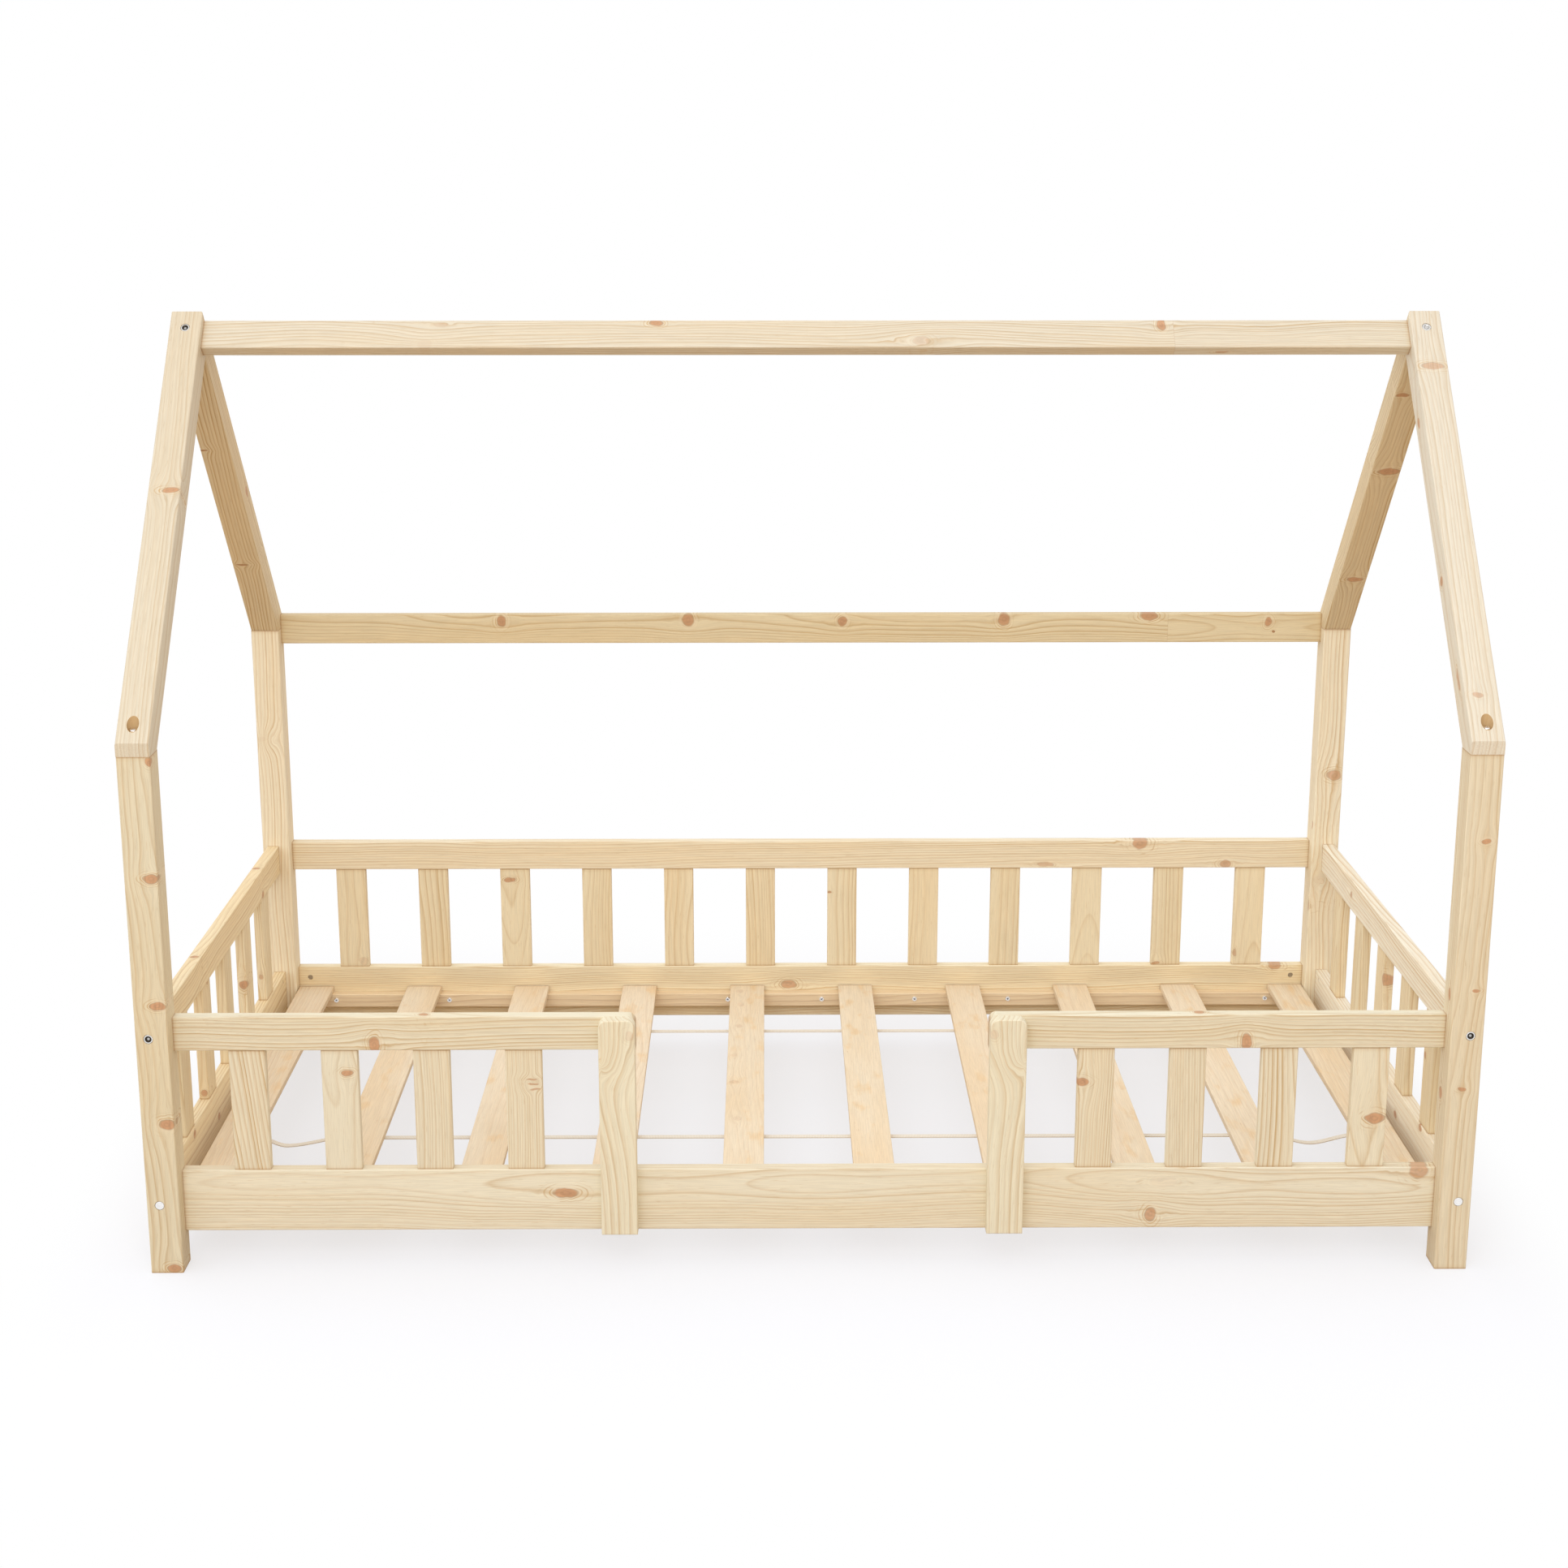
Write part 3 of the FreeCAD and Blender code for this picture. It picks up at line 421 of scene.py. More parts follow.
class SlatFinish(bpy.types.PropertyGroup):
    """Colours of the slats and ledges, which are a finer and warmer wood, and of the dowels."""
    pale: FloatVectorProperty(
        name="Pale figure", description="Light wood of the slats",
        default=(0.91, 0.765, 0.56, 1.0), **COLOUR)
    dark: FloatVectorProperty(
        name="Dark figure", description="Fine lines of the slats",
        default=(0.62, 0.38, 0.185, 1.0), **COLOUR)
    blush: FloatVectorProperty(
        name="Blush", description="Peach tint of some stretches",
        default=(0.87, 0.64, 0.38, 1.0), **COLOUR)
    ledge_pale: FloatVectorProperty(
        name="Ledge, pale", description="Light wood of the ledges",
        default=(0.84, 0.66, 0.48, 1.0), **COLOUR)
    ledge_dark: FloatVectorProperty(
        name="Ledge, dark", description="Ring lines of the ledges",
        default=(0.55, 0.36, 0.20, 1.0), **COLOUR)
    dowel_pale: FloatVectorProperty(
        name="Dowel, pale", description="Light flecks of the dowels",
        default=(0.80, 0.62, 0.42, 1.0), **COLOUR)
    dowel_dark: FloatVectorProperty(
        name="Dowel, dark", description="Dark flecks of the dowels",
        default=(0.66, 0.46, 0.27, 1.0), **COLOUR)


class MetalFinish(bpy.types.PropertyGroup):
    """Plated steel of the bolts, screws, nuts and staples."""
    # The steel's colour, warmed a little as painted reflection of the pine round the heads
    bright: FloatVectorProperty(
        name="Bright plate", description="Colour of bolts and screws",
        default=(0.92, 0.90, 0.875, 1.0), **COLOUR)
    dull: FloatVectorProperty(
        name="Dull plate", description="Colour of nuts and staples",
        default=(0.45, 0.40, 0.34, 1.0), **COLOUR)
    # Painted dark reflection: this colour darkens the key sockets, the cross recesses and a ring of the
    # flat head round them
    recess: FloatVectorProperty(
        name="Recess", description="Oil-dark metal in the key sockets and recesses",
        default=(0.035, 0.026, 0.017, 1.0), **COLOUR)


class RibbonFinish(bpy.types.PropertyGroup):
    """The woven tape that joins the slats."""
    thread: FloatVectorProperty(
        name="Thread", description="Colour of the threads", default=(0.93, 0.885, 0.80, 1.0), **COLOUR)
    gap: FloatVectorProperty(
        name="Between threads", description="Shade between the threads",
        default=(0.72, 0.65, 0.54, 1.0), **COLOUR)
    pitch: FloatProperty(
        name="Thread pitch", description="Distance from thread to thread", unit="LENGTH",
        min=0.0001, default=0.0016)
    thickness: FloatProperty(
        name="Tape thickness", description="Thickness of the tape", default=1.2 * MM, **LENGTH)


class JoinerySizes(bpy.types.PropertyGroup):
    """Sizes of the repeated pieces that the solids alone don't name."""
    tenon_length: FloatProperty(
        name="Tenon length", description="Stub tenon at each end of a baluster", default=0.012, **LENGTH)
    tenon_width: FloatProperty(
        name="Tenon width", description="Tenon across the baluster", default=0.032, **LENGTH)
    tenon_thickness: FloatProperty(
        name="Tenon thickness", description="Tenon through the baluster", default=0.007, **LENGTH)
    baluster_arris: FloatProperty(
        name="Baluster arris", description="Rounding of a baluster's long edges",
        default=0.0015, **LENGTH)
    slat_arris: FloatProperty(
        name="Slat arris", description="Rounding of a slat's long edges", default=0.001, **LENGTH)
    ring_points: IntProperty(
        name="Points round a head", description="Points of each ring of a turned fastener",
        min=12, max=96, default=36)


class StudioSettings(bpy.types.PropertyGroup):
    """Floor, light and camera of the studio."""
    floor_size: FloatProperty(
        name="Floor", description="Side of the floor sheet", unit="LENGTH", min=2.0, default=60.0)
    floor_tint: FloatVectorProperty(
        name="Floor tint", description="Colour of the floor in shade",
        default=(0.84, 0.87, 0.965, 1.0), **COLOUR)
    floor_bounce: FloatVectorProperty(
        name="Floor bounce", description="Colour with which the floor lights the bed from below",
        default=(0.46, 0.33, 0.20, 1.0), **COLOUR)
    shade_near: FloatProperty(
        name="White near the bed", description="Share of pure white in the floor near the bed",
        subtype="FACTOR", min=0.0, max=1.0, default=0.59)
    sky_high: FloatProperty(
        name="Light from above", description="Strength of the soft light overhead", min=0.0,
        default=0.87)
    sky_low: FloatProperty(
        name="Light from the sides", description="Strength of the soft light at eye level",
        min=0.0, default=0.965)
    side_tilt: FloatProperty(
        name="Stronger from the left", description="Share by which the light gains on the left side",
        subtype="FACTOR", min=0.0, max=1.0, default=0.58)
    key_power: FloatProperty(
        name="Key light", description="Power of the large soft lamp", unit="POWER", min=0.0,
        default=46.0)
    lens: FloatProperty(
        name="Lens", description="Focal length on a 36 mm sensor", unit="CAMERA", min=1.0,
        default=PHOTO_FOCAL / PHOTO_SIDE * SENSOR_MM)


class BedSettings(bpy.types.PropertyGroup):
    """All finishes and sizes of the bed's looks."""
    pine: PointerProperty(type=PineFinish)
    slats: PointerProperty(type=SlatFinish)
    metal: PointerProperty(type=MetalFinish)
    ribbon: PointerProperty(type=RibbonFinish)
    joinery: PointerProperty(type=JoinerySizes)
    studio: PointerProperty(type=StudioSettings)


def settings():
    """The finishes and sizes kept on the scene."""
    return bpy.context.scene.house_bed


# Building node trees

class Wire:
    """The output of a node, for plain sums: each sum, function or mix adds one node to its tree."""

    def __init__(self, socket):
        self.socket = socket
        self.tree = socket.id_data
        self.wide = socket.type in ("VECTOR", "RGBA")

    def calc(self, operation, *others):
        """One step of arithmetic, on numbers or on vectors and colours."""
        kind = "ShaderNodeVectorMath" if self.wide else "ShaderNodeMath"
        return Wire(put(self.tree, kind, self, *others, operation=operation).outputs[0])

    def __add__(self, other):
        return self.calc("ADD", other)

    def __sub__(self, other):
        return self.calc("SUBTRACT", other)

    def __rsub__(self, other):
        return Wire(put(self.tree, "ShaderNodeMath", other, self, operation="SUBTRACT").outputs[0])

    def __mul__(self, other):
        wide = other.wide if isinstance(other, Wire) else hasattr(other, "__len__")
        if wide == self.wide:
            return self.calc("MULTIPLY", other)
        vector, factor = (self, other) if self.wide else (other, self)
        made = put(self.tree, "ShaderNodeVectorMath", vector, None, None, factor, operation="SCALE")
        return Wire(made.outputs[0])

    def __truediv__(self, other):
        return self.calc("DIVIDE", other)

    def dot(self, other):
        """The product of two vectors as a number."""
        made = put(self.tree, "ShaderNodeVectorMath", self, other, operation="DOT_PRODUCT")
        return Wire(made.outputs["Value"])

    def length(self):
        """The length of a vector."""
        return Wire(put(self.tree, "ShaderNodeVectorMath", self, operation="LENGTH").outputs["Value"])

    def parts(self):
        """The three numbers of a vector."""
        return [Wire(socket) for socket in put(self.tree, "ShaderNodeSeparateXYZ", self).outputs]

    def step(self, low, high, start=0.0, end=1.0):
        """A smooth change from start to end while the value goes from low to high."""
        made = put(self.tree, "ShaderNodeMapRange", self, low, high, start, end,
                   interpolation_type="SMOOTHSTEP")
        return Wire(made.outputs[0])

    def bands(self, rate):
        """Lines that come and go as the value grows."""
        return (self * rate).calc("PINGPONG", 1.0)

    def bell(self):
        """One at nought, fading smoothly to both sides."""
        return (self * self * -1.0).calc("EXPONENT")

    def mix(self, one, two):
        """A mix of two colours, whose sockets come after those for numbers and vectors."""
        made = put(self.tree, "ShaderNodeMix", self, data_type="RGBA")
        for socket, value in zip(made.inputs[6:], (one, two)):
            fill(socket, value)
        return Wire(made.outputs[2])


def fill(socket, value):
    """Link a socket to an output, or give it a value."""
    if isinstance(value, Wire):
        value = value.socket
    if isinstance(value, bpy.types.NodeSocket):
        socket.id_data.links.new(value, socket)
    elif value is not None:
        socket.default_value = value


def put(tree, kind, *values, **options):
    """Add a node with its options, and fill its first inputs in order."""
    made = tree.nodes.new(kind)
    for option, value in options.items():
        setattr(made, option, value)
    for socket, value in zip(made.inputs, values):
        fill(socket, value)
    return made


def combined(tree, *parts):
    """A vector of up to three numbers."""
    return Wire(put(tree, "ShaderNodeCombineXYZ", *parts).outputs[0])


def noise(at, detail=1.0):
    """Smooth noise at a place: its value and its colour."""
    made = put(at.tree, "ShaderNodeTexNoise", at, None, 1.0, detail, NOISE_ROUGHNESS)
    return Wire(made.outputs[0]), Wire(made.outputs[1])


def object_place(tree):
    """The place of a point in the bed's own frame."""
    return Wire(put(tree, "ShaderNodeTexCoord").outputs["Object"])


def point_place(tree):
    """The place of each point or instance in a Geometry Nodes tree."""
    return Wire(put(tree, "GeometryNodeInputPosition").outputs[0])


def attribute(tree, name, output):
    """A value that the mesh keeps under a name."""
    return Wire(put(tree, "ShaderNodeAttribute", attribute_name=name).outputs[output])


def relieve(shader, height, strength, distance):
    """Raise and sink the surface of a shader a little."""
    made = put(shader.id_data, "ShaderNodeBump", strength, distance)
    fill(made.inputs["Height"], height)
    fill(shader.inputs["Normal"], made.outputs[0])


def new_group(name, kind, inputs, outputs):
    """A node group with named inputs and outputs."""
    tree = bpy.data.node_groups.new(name, kind)
    for side, rows in (("INPUT", inputs), ("OUTPUT", outputs)):
        for sort, *labels in rows:
            for label in labels:
                tree.interface.new_socket(name=label, in_out=side, socket_type=f"NodeSocket{sort}")
    given = tree.nodes.new("NodeGroupInput").outputs
    result = tree.nodes.new("NodeGroupOutput").inputs
    return tree, {socket.name: Wire(socket) for socket in given if socket.name}, result


def kept_group(name, build):
    """A node group by its name, built on its first use."""
    return bpy.data.node_groups.get(name) or build(name)


def new_material(name):
    """An empty material: its tree, its shader and the material."""
    material = bpy.data.materials.new(name)
    material.use_nodes = True
    tree = material.node_tree
    tree.nodes.clear()
    shader = tree.nodes.new("ShaderNodeBsdfPrincipled")
    put(tree, "ShaderNodeOutputMaterial", shader.outputs[0])
    return tree, shader, material


# Wood

def knot_group(name):
    """How near a place is to a knot, how ruddy it is, and how far the grain bends round it."""
    tree, given, result = new_group(
        name, "ShaderNodeTree",
        [("Vector", "Place", "Centre", "Along", "Across", "Through", "Push", "Fan"),
         ("Float", "This ruddy", "Distance", "Ruddy"), ("Vector", "Bend")],
        [("Float", "Distance", "Ruddy"), ("Vector", "Bend")])
    away = given["Place"] - given["Centre"]
    along, across, through = [away.dot(given[label]) for label in ("Along", "Across", "Through")]
    apart = combined(tree, along, across, through)
    near = apart.length()
    push = given["Push"] * (across * (apart * BEND_SHARES).length().bell())
    angle = along.calc("ARCTAN2", across.calc("ABSOLUTE") + FAN_HEART)
    fan = given["Fan"] * (angle * (along * FAN_ALONG).bell())
    nearer = near.calc("LESS_THAN", given["Distance"])
    fill(result["Distance"], near.calc("MINIMUM", given["Distance"]))
    fill(result["Ruddy"], (given["This ruddy"] - given["Ruddy"]) * nearer + given["Ruddy"])
    fill(result["Bend"], push + fan + given["Bend"])
    return tree


def ring_lines(given, along, beyond, seed, shift):
    """Growth rings round a leaning pith: lines that fade to one side, and fine lines between them."""
    board = given["Board"]
    width = given["Ring width"]
    contrast = given["Contrast"]
    drift = (noise(board * DRIFT_RATES + shift)[1] - HALF) * DRIFT
    pith = given["Pith"] + given["Lean"] * along + beyond * JOINT_PITH
    out = (board - pith + drift) * ACROSS_GRAIN
    facing = out.calc("NORMALIZE").dot(given["Face"])
    spread = (1.0 - facing * facing).calc("MAXIMUM", LEAST_SPREAD).calc("SQRT")
    ripple = (noise(board * RIPPLE_RATES + shift, 2.0)[0] - 0.5) * (spread * RIPPLE)
    rings = (out.length() + ripple) / width
    uneven = noise(combined(board.tree, rings * UNEVEN_RATE, seed), 0.0)[0]
    rings = uneven * UNEVEN_SHARE + rings
    count = rings.calc("FLOOR") + seed * SEED_COUNT
    strong = put(board.tree, "ShaderNodeTexWhiteNoise", None, count, noise_dimensions="1D").outputs[0]
    gap = (LINE_PLACE - rings.calc("FRACT")) * width / spread.calc("POWER", FLAT_WIDENS)
    rising = (gap.calc("MAXIMUM", 0.0) / (width * -LINE_SHARE)).calc("EXPONENT")
    falling = gap.step(-LINE_EDGE, 0.0)
    line = rising * falling * Wire(strong).step(*RING_STRENGTH)
    line = line * spread.step(*FLAT_STRENGTH) * contrast
    hair = rings.bands(HAIRLINES).step(*HAIR_STEP) * (spread * HAIR_SHARE)
    return line + hair * contrast


def bare_wood(given, line, fibre, shift):
    """The pale wood with its ring lines, warm patches, mottle, short resin streaks and fibres."""
    board = given["Board"]
    tone = given["Tone"]
    patch = noise(board * PATCH_RATES + shift, 2.0)[0]
    streak = noise(board * STREAK_RATES + shift, 0.0)[0]
    mottle = noise(board * MOTTLE_RATES + shift, 3.0)[0].step(*MOTTLE_STEP) * given["Mottle"]
    cloud = (patch.step(*PATCH_STEP) * given["Clouds"]).calc("MAXIMUM", mottle)
    dark_line = given["Latewood"] * tone.parts()[0]
    colour = line.mix(given["Earlywood"] * tone, dark_line)
    colour = cloud.mix(colour, given["Warm"] * tone)
    colour = streak.step(*STREAK_STEP).mix(colour, dark_line)
    return colour * fibre.step(*FIBRE_STEP)


def knot_marks(given, colour, fibre, shift):
    """Knots: a pale ring and thin lines round them, a ruddy heart and a broken dark rim."""
    near = given["Knot distance"]
    ruddy = given["Knot ruddy"]
    shown = ruddy.calc("MINIMUM", 1.0)
    broken = noise(given["Board"] * BROKEN_RATES + shift)[0].step(*BROKEN_STEP)
    pale = near.step(*PALE_START) * near.step(*PALE_END)
    colour = (pale * shown).mix(colour, given["Earlywood"])
    lines = near.bands(KNOT_LINES).step(*KNOT_LINE_STEP) * near.step(*LINES_START) * near.step(*LINES_END)
    colour = (lines * broken * shown).mix(colour, given["Latewood"])
    heart = given["Knot"] * fibre.step(*HEART_FIBRE)
    heart = heart * near.bands(HEART_RINGS).step(*HEART_RING_STEP)
    heart = (ruddy - 1.0).calc("MAXIMUM", 0.0).mix(heart, given["Bark"])
    colour = (near.step(*HEART_EDGE) * shown).mix(colour, heart)
    rim = near.step(*RIM_START) * near.step(*RIM_END)
    rim = rim * shown * broken.step(*RIM_STRENGTH)
    return rim.mix(colour, given["Bark"]), rim


def board_ends(given, colour, along):
    """Painted shade in the bores, painted shade and a painted contact shadow line at the ends of the
    board, and a dark line at a finger joint.
    """
    # Painted shade inside a bore: the wood there is drawn towards the latewood colour
    colour = given["Bore"].mix(colour, given["Latewood"])
    to_end = (along - given["Low end"]).calc("MINIMUM", given["High end"] - along)
    # Painted shade near the ends of the board, where it meets other parts
    colour = to_end.step(*END_SHADE).mix(colour, given["Latewood"])
    # Painted contact shadow: a dark line right at the ends of the board
    colour = to_end.step(*END_SEAM_SHADOW).mix(colour, given["Bark"])
    to_joint = (along - given["Joint"]).calc("ABSOLUTE")
    return to_joint.step(*JOINT_SEAM).mix(colour, given["Bark"])


def pine_group(name):
    """Planed pine: growth rings round a leaning pith, fibres, patches, knots, and painted shade at the
    board ends and in bores.
    """
    tree, given, result = new_group(
        name, "ShaderNodeTree",
        [("Vector", "Board", "Face", "Pith", "Lean", "Tone"),
         ("Float", "Seed", "Ring width", "Contrast", "Clouds", "Mottle", "Low end", "High end", "Joint",
          "Knot distance", "Knot ruddy", "Bore"),
         ("Color", "Earlywood", "Latewood", "Warm", "Knot", "Bark")],
        [("Color", "Colour"), ("Float", "Roughness", "Height")])
    along = given["Board"].parts()[0]
    beyond = along.calc("GREATER_THAN", given["Joint"])
    seed = beyond * JOINT_SEED + given["Seed"]
    shift = seed * SEED_SHIFT
    line = ring_lines(given, along, beyond, seed, shift)
    fibre = noise(given["Board"] * FIBRE_RATES + shift, 2.0)[0]
    colour = bare_wood(given, line, fibre, shift)
    colour, rim = knot_marks(given, colour, fibre, shift)
    fill(result["Colour"], board_ends(given, colour, along))
    fill(result["Roughness"], line.step(*WOOD_ROUGHNESS))
    fill(result["Height"], line * LINE_RELIEF + fibre * FIBRE_RELIEF - rim * RIM_RELIEF)
    return tree


def knotted(place, knots, grain):
    """Chain the knots of a board: how near the nearest is, how ruddy, and how far the grain bends."""
    wobble = (noise(place * KNOT_WOBBLE_RATE)[1] - HALF) * KNOT_WOBBLE
    uneven = place + wobble
    near = FAR
    ruddy = 0.0
    bend = NOUGHT
    for centre, normal, half_across, half_along, this_ruddy, push, fan in knots:
        across = normal.cross(grain).normalized()
        through = normal / (max(half_across, half_along) * KNOT_DEPTH_SHARE)
        aside = across * half_across * -BEND_SHARE * push
        made = put(place.tree, "ShaderNodeGroup", node_tree=kept_group("Knot", knot_group))
        values = (uneven, centre, grain / half_along, across / half_across, through, aside, across * fan,
                  this_ruddy, near, ruddy, bend)
        for socket, value in zip(made.inputs, values):
            fill(socket, value)
        near, ruddy, bend = made.outputs
    return near, ruddy, bend


def pine_shader(tree, shader, middle, grain, face, knots, values, palette, bore=None):
    """Put the planed pine on a shader, with the board's own place, cut and knots, and painted shade in its
    upright bore.
    """
    finish = settings().pine
    turn = Matrix((grain, face.cross(grain), face)).transposed().to_euler()
    place = object_place(tree)
    near, ruddy, bend = knotted(place, knots, grain)
    offset = place + bend - middle
    normal = put(tree, "ShaderNodeNewGeometry").outputs["True Normal"]
    board, faced = [put(tree, "ShaderNodeMapping", value, None, turn, vector_type="TEXTURE").outputs[0]
                    for value in (offset, normal)]
    values = {**values, "Board": board, "Face": faced, "Knot distance": near, "Knot ruddy": ruddy}
    values.update(zip(("Earlywood", "Latewood", "Warm", "Knot", "Bark"), palette))
    # Painted shade: the wood inside the upright bore is drawn darker, towards the latewood
    if bore:
        beside = (place - bore) * LEVEL_PLANE
        values["Bore"] = beside.length().step(*BORE_SHADE)
    wood = put(tree, "ShaderNodeGroup", node_tree=kept_group("Planed pine", pine_group))
    for label, value in values.items():
        fill(wood.inputs[label], value)
    fill(shader.inputs["Base Color"], wood.outputs["Colour"])
    fill(shader.inputs["Roughness"], wood.outputs["Roughness"])
    relieve(shader, wood.outputs["Height"], WOOD_RELIEF, finish.bump)
    shader.inputs["Specular IOR Level"].default_value = finish.specular


def pine_palette():
    """The five colours of the pine."""
    finish = settings().pine
    return finish.earlywood, finish.latewood, finish.warm, finish.knot, finish.bark_and_seam_shadow


def slat_palette():
    """The five colours of the slats."""
    finish = settings().slats
    return finish.pale, finish.dark, finish.blush, *pine_palette()[3:]


def ledge_palette():
    """The five colours of the ledges."""
    finish = settings().slats
    return finish.ledge_pale, finish.ledge_dark, finish.ledge_pale, *pine_palette()[3:]


def photo_ray(pixel_x, pixel_y):
    """The direction in which a pixel of the photo looks."""
    half = PHOTO_SIDE / 2
    ray = Vector(((pixel_x - half) / PHOTO_FOCAL, (half - pixel_y) / PHOTO_FOCAL, -1.0))
    ray.rotate(Euler(CAMERA_TURN))
    return ray.normalized()


def knots_on(nodes, pixels):
    """Knots where the photo shows them: centre, direction, half widths, ruddiness, push and fan."""
    surfaces = []
    for node in nodes:
        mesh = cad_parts[node].data
        corners = [vertex.co for vertex in mesh.vertices]
        faces = [tuple(face.vertices) for face in mesh.polygons]
        surfaces.append(BVHTree.FromPolygons(corners, faces))
    found = []
    for pixel_x, pixel_y, half_across, half_along, *more in pixels:
        ray = photo_ray(pixel_x, pixel_y)
        hits = [surface.ray_cast(Vector(CAMERA_PLACE), ray) for surface in surfaces]
        hits = [hit for hit in hits if hit[0] is not None]
        if not hits:
            raise RuntimeError(f"no board of {nodes} at pixel {pixel_x}, {pixel_y}")
        point, normal = min(hits, key=lambda hit: hit[3])[:2]
        if normal.dot(ray) > 0:
            normal = -normal
        ruddy, push, fan = more + [1.0, 1.0, 0.0][len(more):]
        found.append((point, normal, half_across * MM, half_along * MM, ruddy, push, fan * MM))
    return found


def dress(node, material):
    """Give a CAD node a finer material."""
    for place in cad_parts[node].material_slots:
        place.material = material


def finish_board(node, grain, face, palette=None, ends=True, bore=None):
    """Give one board its own pine, cut and knotted as its table says."""
    low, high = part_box(node)
    middle = (low + high) / 2
    across_mm, depth_mm, lean_mm, sink_mm, ring_mm, contrast, seed, tone = CUTS[node]
    # A board with ends gets painted shade and a painted contact shadow line at both of them
    half = abs((high - low).dot(grain)) / 2 if ends else FAR
    joint = FAR
    if node in JOINTS:
        point = knots_on((node,), ((*JOINTS[node], 1, 1),))[0][0]
        joint = (point - middle).dot(grain)
    values = {
        "Seed": seed, "Pith": (0.0, across_mm * MM, depth_mm * MM),
        "Lean": (0.0, lean_mm * MM, sink_mm * MM), "Ring width": ring_mm * MM, "Contrast": contrast,
        "Clouds": CLOUDS, "Tone": TONES[tone], "Low end": -half, "High end": half, "Joint": joint,
    }
    knots = knots_on((node,), KNOTS.get(node, ()))
    tree, shader, material = new_material(node)
    pine_shader(tree, shader, middle, grain, face, knots, values, palette or pine_palette(), bore)
    dress(node, material)


def row_material(name, grain, face, knots, half_length, palette, clouds=CLOUDS, mottle=0.0):
    """Wood for a row of like boards, each with its own middle and cut."""
    tree, shader, material = new_material(name)
    middle, pith, lean, cut, tone = [attribute(tree, f"board_{label}", "Vector")
                                     for label in ("middle", "pith", "lean", "cut", "tone")]
    ring, contrast, seed = cut.parts()
    # Low end and High end place the painted shade and contact shadow line at both ends of each board
    values = {
        "Seed": seed, "Pith": pith, "Lean": lean, "Ring width": ring, "Contrast": contrast,
        "Clouds": clouds, "Mottle": mottle, "Tone": tone, "Low end": -half_length,
        "High end": half_length, "Joint": FAR,
    }
    pine_shader(tree, shader, middle, grain, face, knots, values, palette)
    return material


# Geometry Nodes

def swept(tree, half_length, width, thickness, arris=None):
    """A board along Z with its long edges rounded."""
    start = combined(tree, 0.0, 0.0, half_length * -1.0)
    end = combined(tree, 0.0, 0.0, half_length)
    path = put(tree, "GeometryNodeCurvePrimitiveLine", start, end).outputs[0]
    outline = put(tree, "GeometryNodeCurvePrimitiveQuadrilateral", width, thickness).outputs[0]
    if arris is not None:
        rounded = put(tree, "GeometryNodeFilletCurve", outline, ARRIS_POINTS, arris, True, mode="POLY")
        outline = rounded.outputs[0]
    board = put(tree, "GeometryNodeCurveToMesh", path, outline)
    fill(board.inputs["Fill Caps"], True)
    return board.outputs[0]


def stored(tree, geometry, name, value):
    """Keep a vector of each instance under a name that its material reads."""
    made = put(tree, "GeometryNodeStoreNamedAttribute", geometry, True, name,
               data_type="FLOAT_VECTOR", domain="INSTANCE")
    fill(made.inputs["Value"], value)
    return made.outputs[0]


def finished(tree, geometry, material):
    """Make instances real and give them their material."""
    real = put(tree, "GeometryNodeRealizeInstances", geometry).outputs[0]
    done = put(tree, "GeometryNodeSetMaterial", real)
    fill(done.inputs["Material"], material)
    return done.outputs[0]


def board_row_tree(name):
    """A row of like boards, with stub tenons where they have a length."""
    tree, given, result = new_group(
        name, "GeometryNodeTree",
        [("Int", "Count"), ("Vector", "First", "Step", "Turn"),
         ("Float", "Length", "Width", "Thickness", "Arris", "Tenon length", "Tenon width",
          "Tenon thickness"),
         ("Vector", "Pith low", "Pith high", "Lean low", "Lean high", "Cut low", "Cut high", "Tone low",
          "Tone high"),
         ("Int", "Seed"), ("Material", "Finish")],
        [("Geometry", "Boards")])
    half = given["Length"] * 0.5
    board = swept(tree, half, given["Width"], given["Thickness"], given["Arris"])
    tenon_half = half + given["Tenon length"]
    tenon = swept(tree, tenon_half, given["Tenon width"], given["Tenon thickness"])
    both = put(tree, "GeometryNodeJoinGeometry", board)
    tree.links.new(tenon, both.inputs[0])
    has_tenon = given["Tenon length"].calc("GREATER_THAN", 0.0)
    chosen = put(tree, "GeometryNodeSwitch", has_tenon, board, both.outputs[0], input_type="GEOMETRY")
    flat = put(tree, "GeometryNodeSetShadeSmooth", chosen.outputs[0], True, False).outputs[0]
    points = put(tree, "GeometryNodeMeshLine", given["Count"], None, given["First"], given["Step"])
    row = put(tree, "GeometryNodeInstanceOnPoints", points.outputs[0])
    fill(row.inputs["Instance"], flat)
    fill(row.inputs["Rotation"], put(tree, "FunctionNodeEulerToRotation", given["Turn"]).outputs[0])
    geometry = stored(tree, row.outputs[0], "board_middle", point_place(tree))
    share = put(tree, "FunctionNodeRandomValue", data_type="FLOAT")
    fill(share.inputs["Seed"], given["Seed"] + TONE_DRAW)
    change = given["Tone high"] - given["Tone low"]
    tone = change * Wire(share.outputs[1]) + given["Tone low"]
    geometry = stored(tree, geometry, "board_tone", tone)
    for more, label in enumerate(("Pith", "Lean", "Cut")):
        chance = put(tree, "FunctionNodeRandomValue", given[f"{label} low"], given[f"{label} high"],
                     data_type="FLOAT_VECTOR")
        fill(chance.inputs["Seed"], given["Seed"] + float(more))
        geometry = stored(tree, geometry, f"board_{label.lower()}", chance.outputs[0])
    fill(result["Boards"], finished(tree, geometry, given["Finish"]))
    return tree


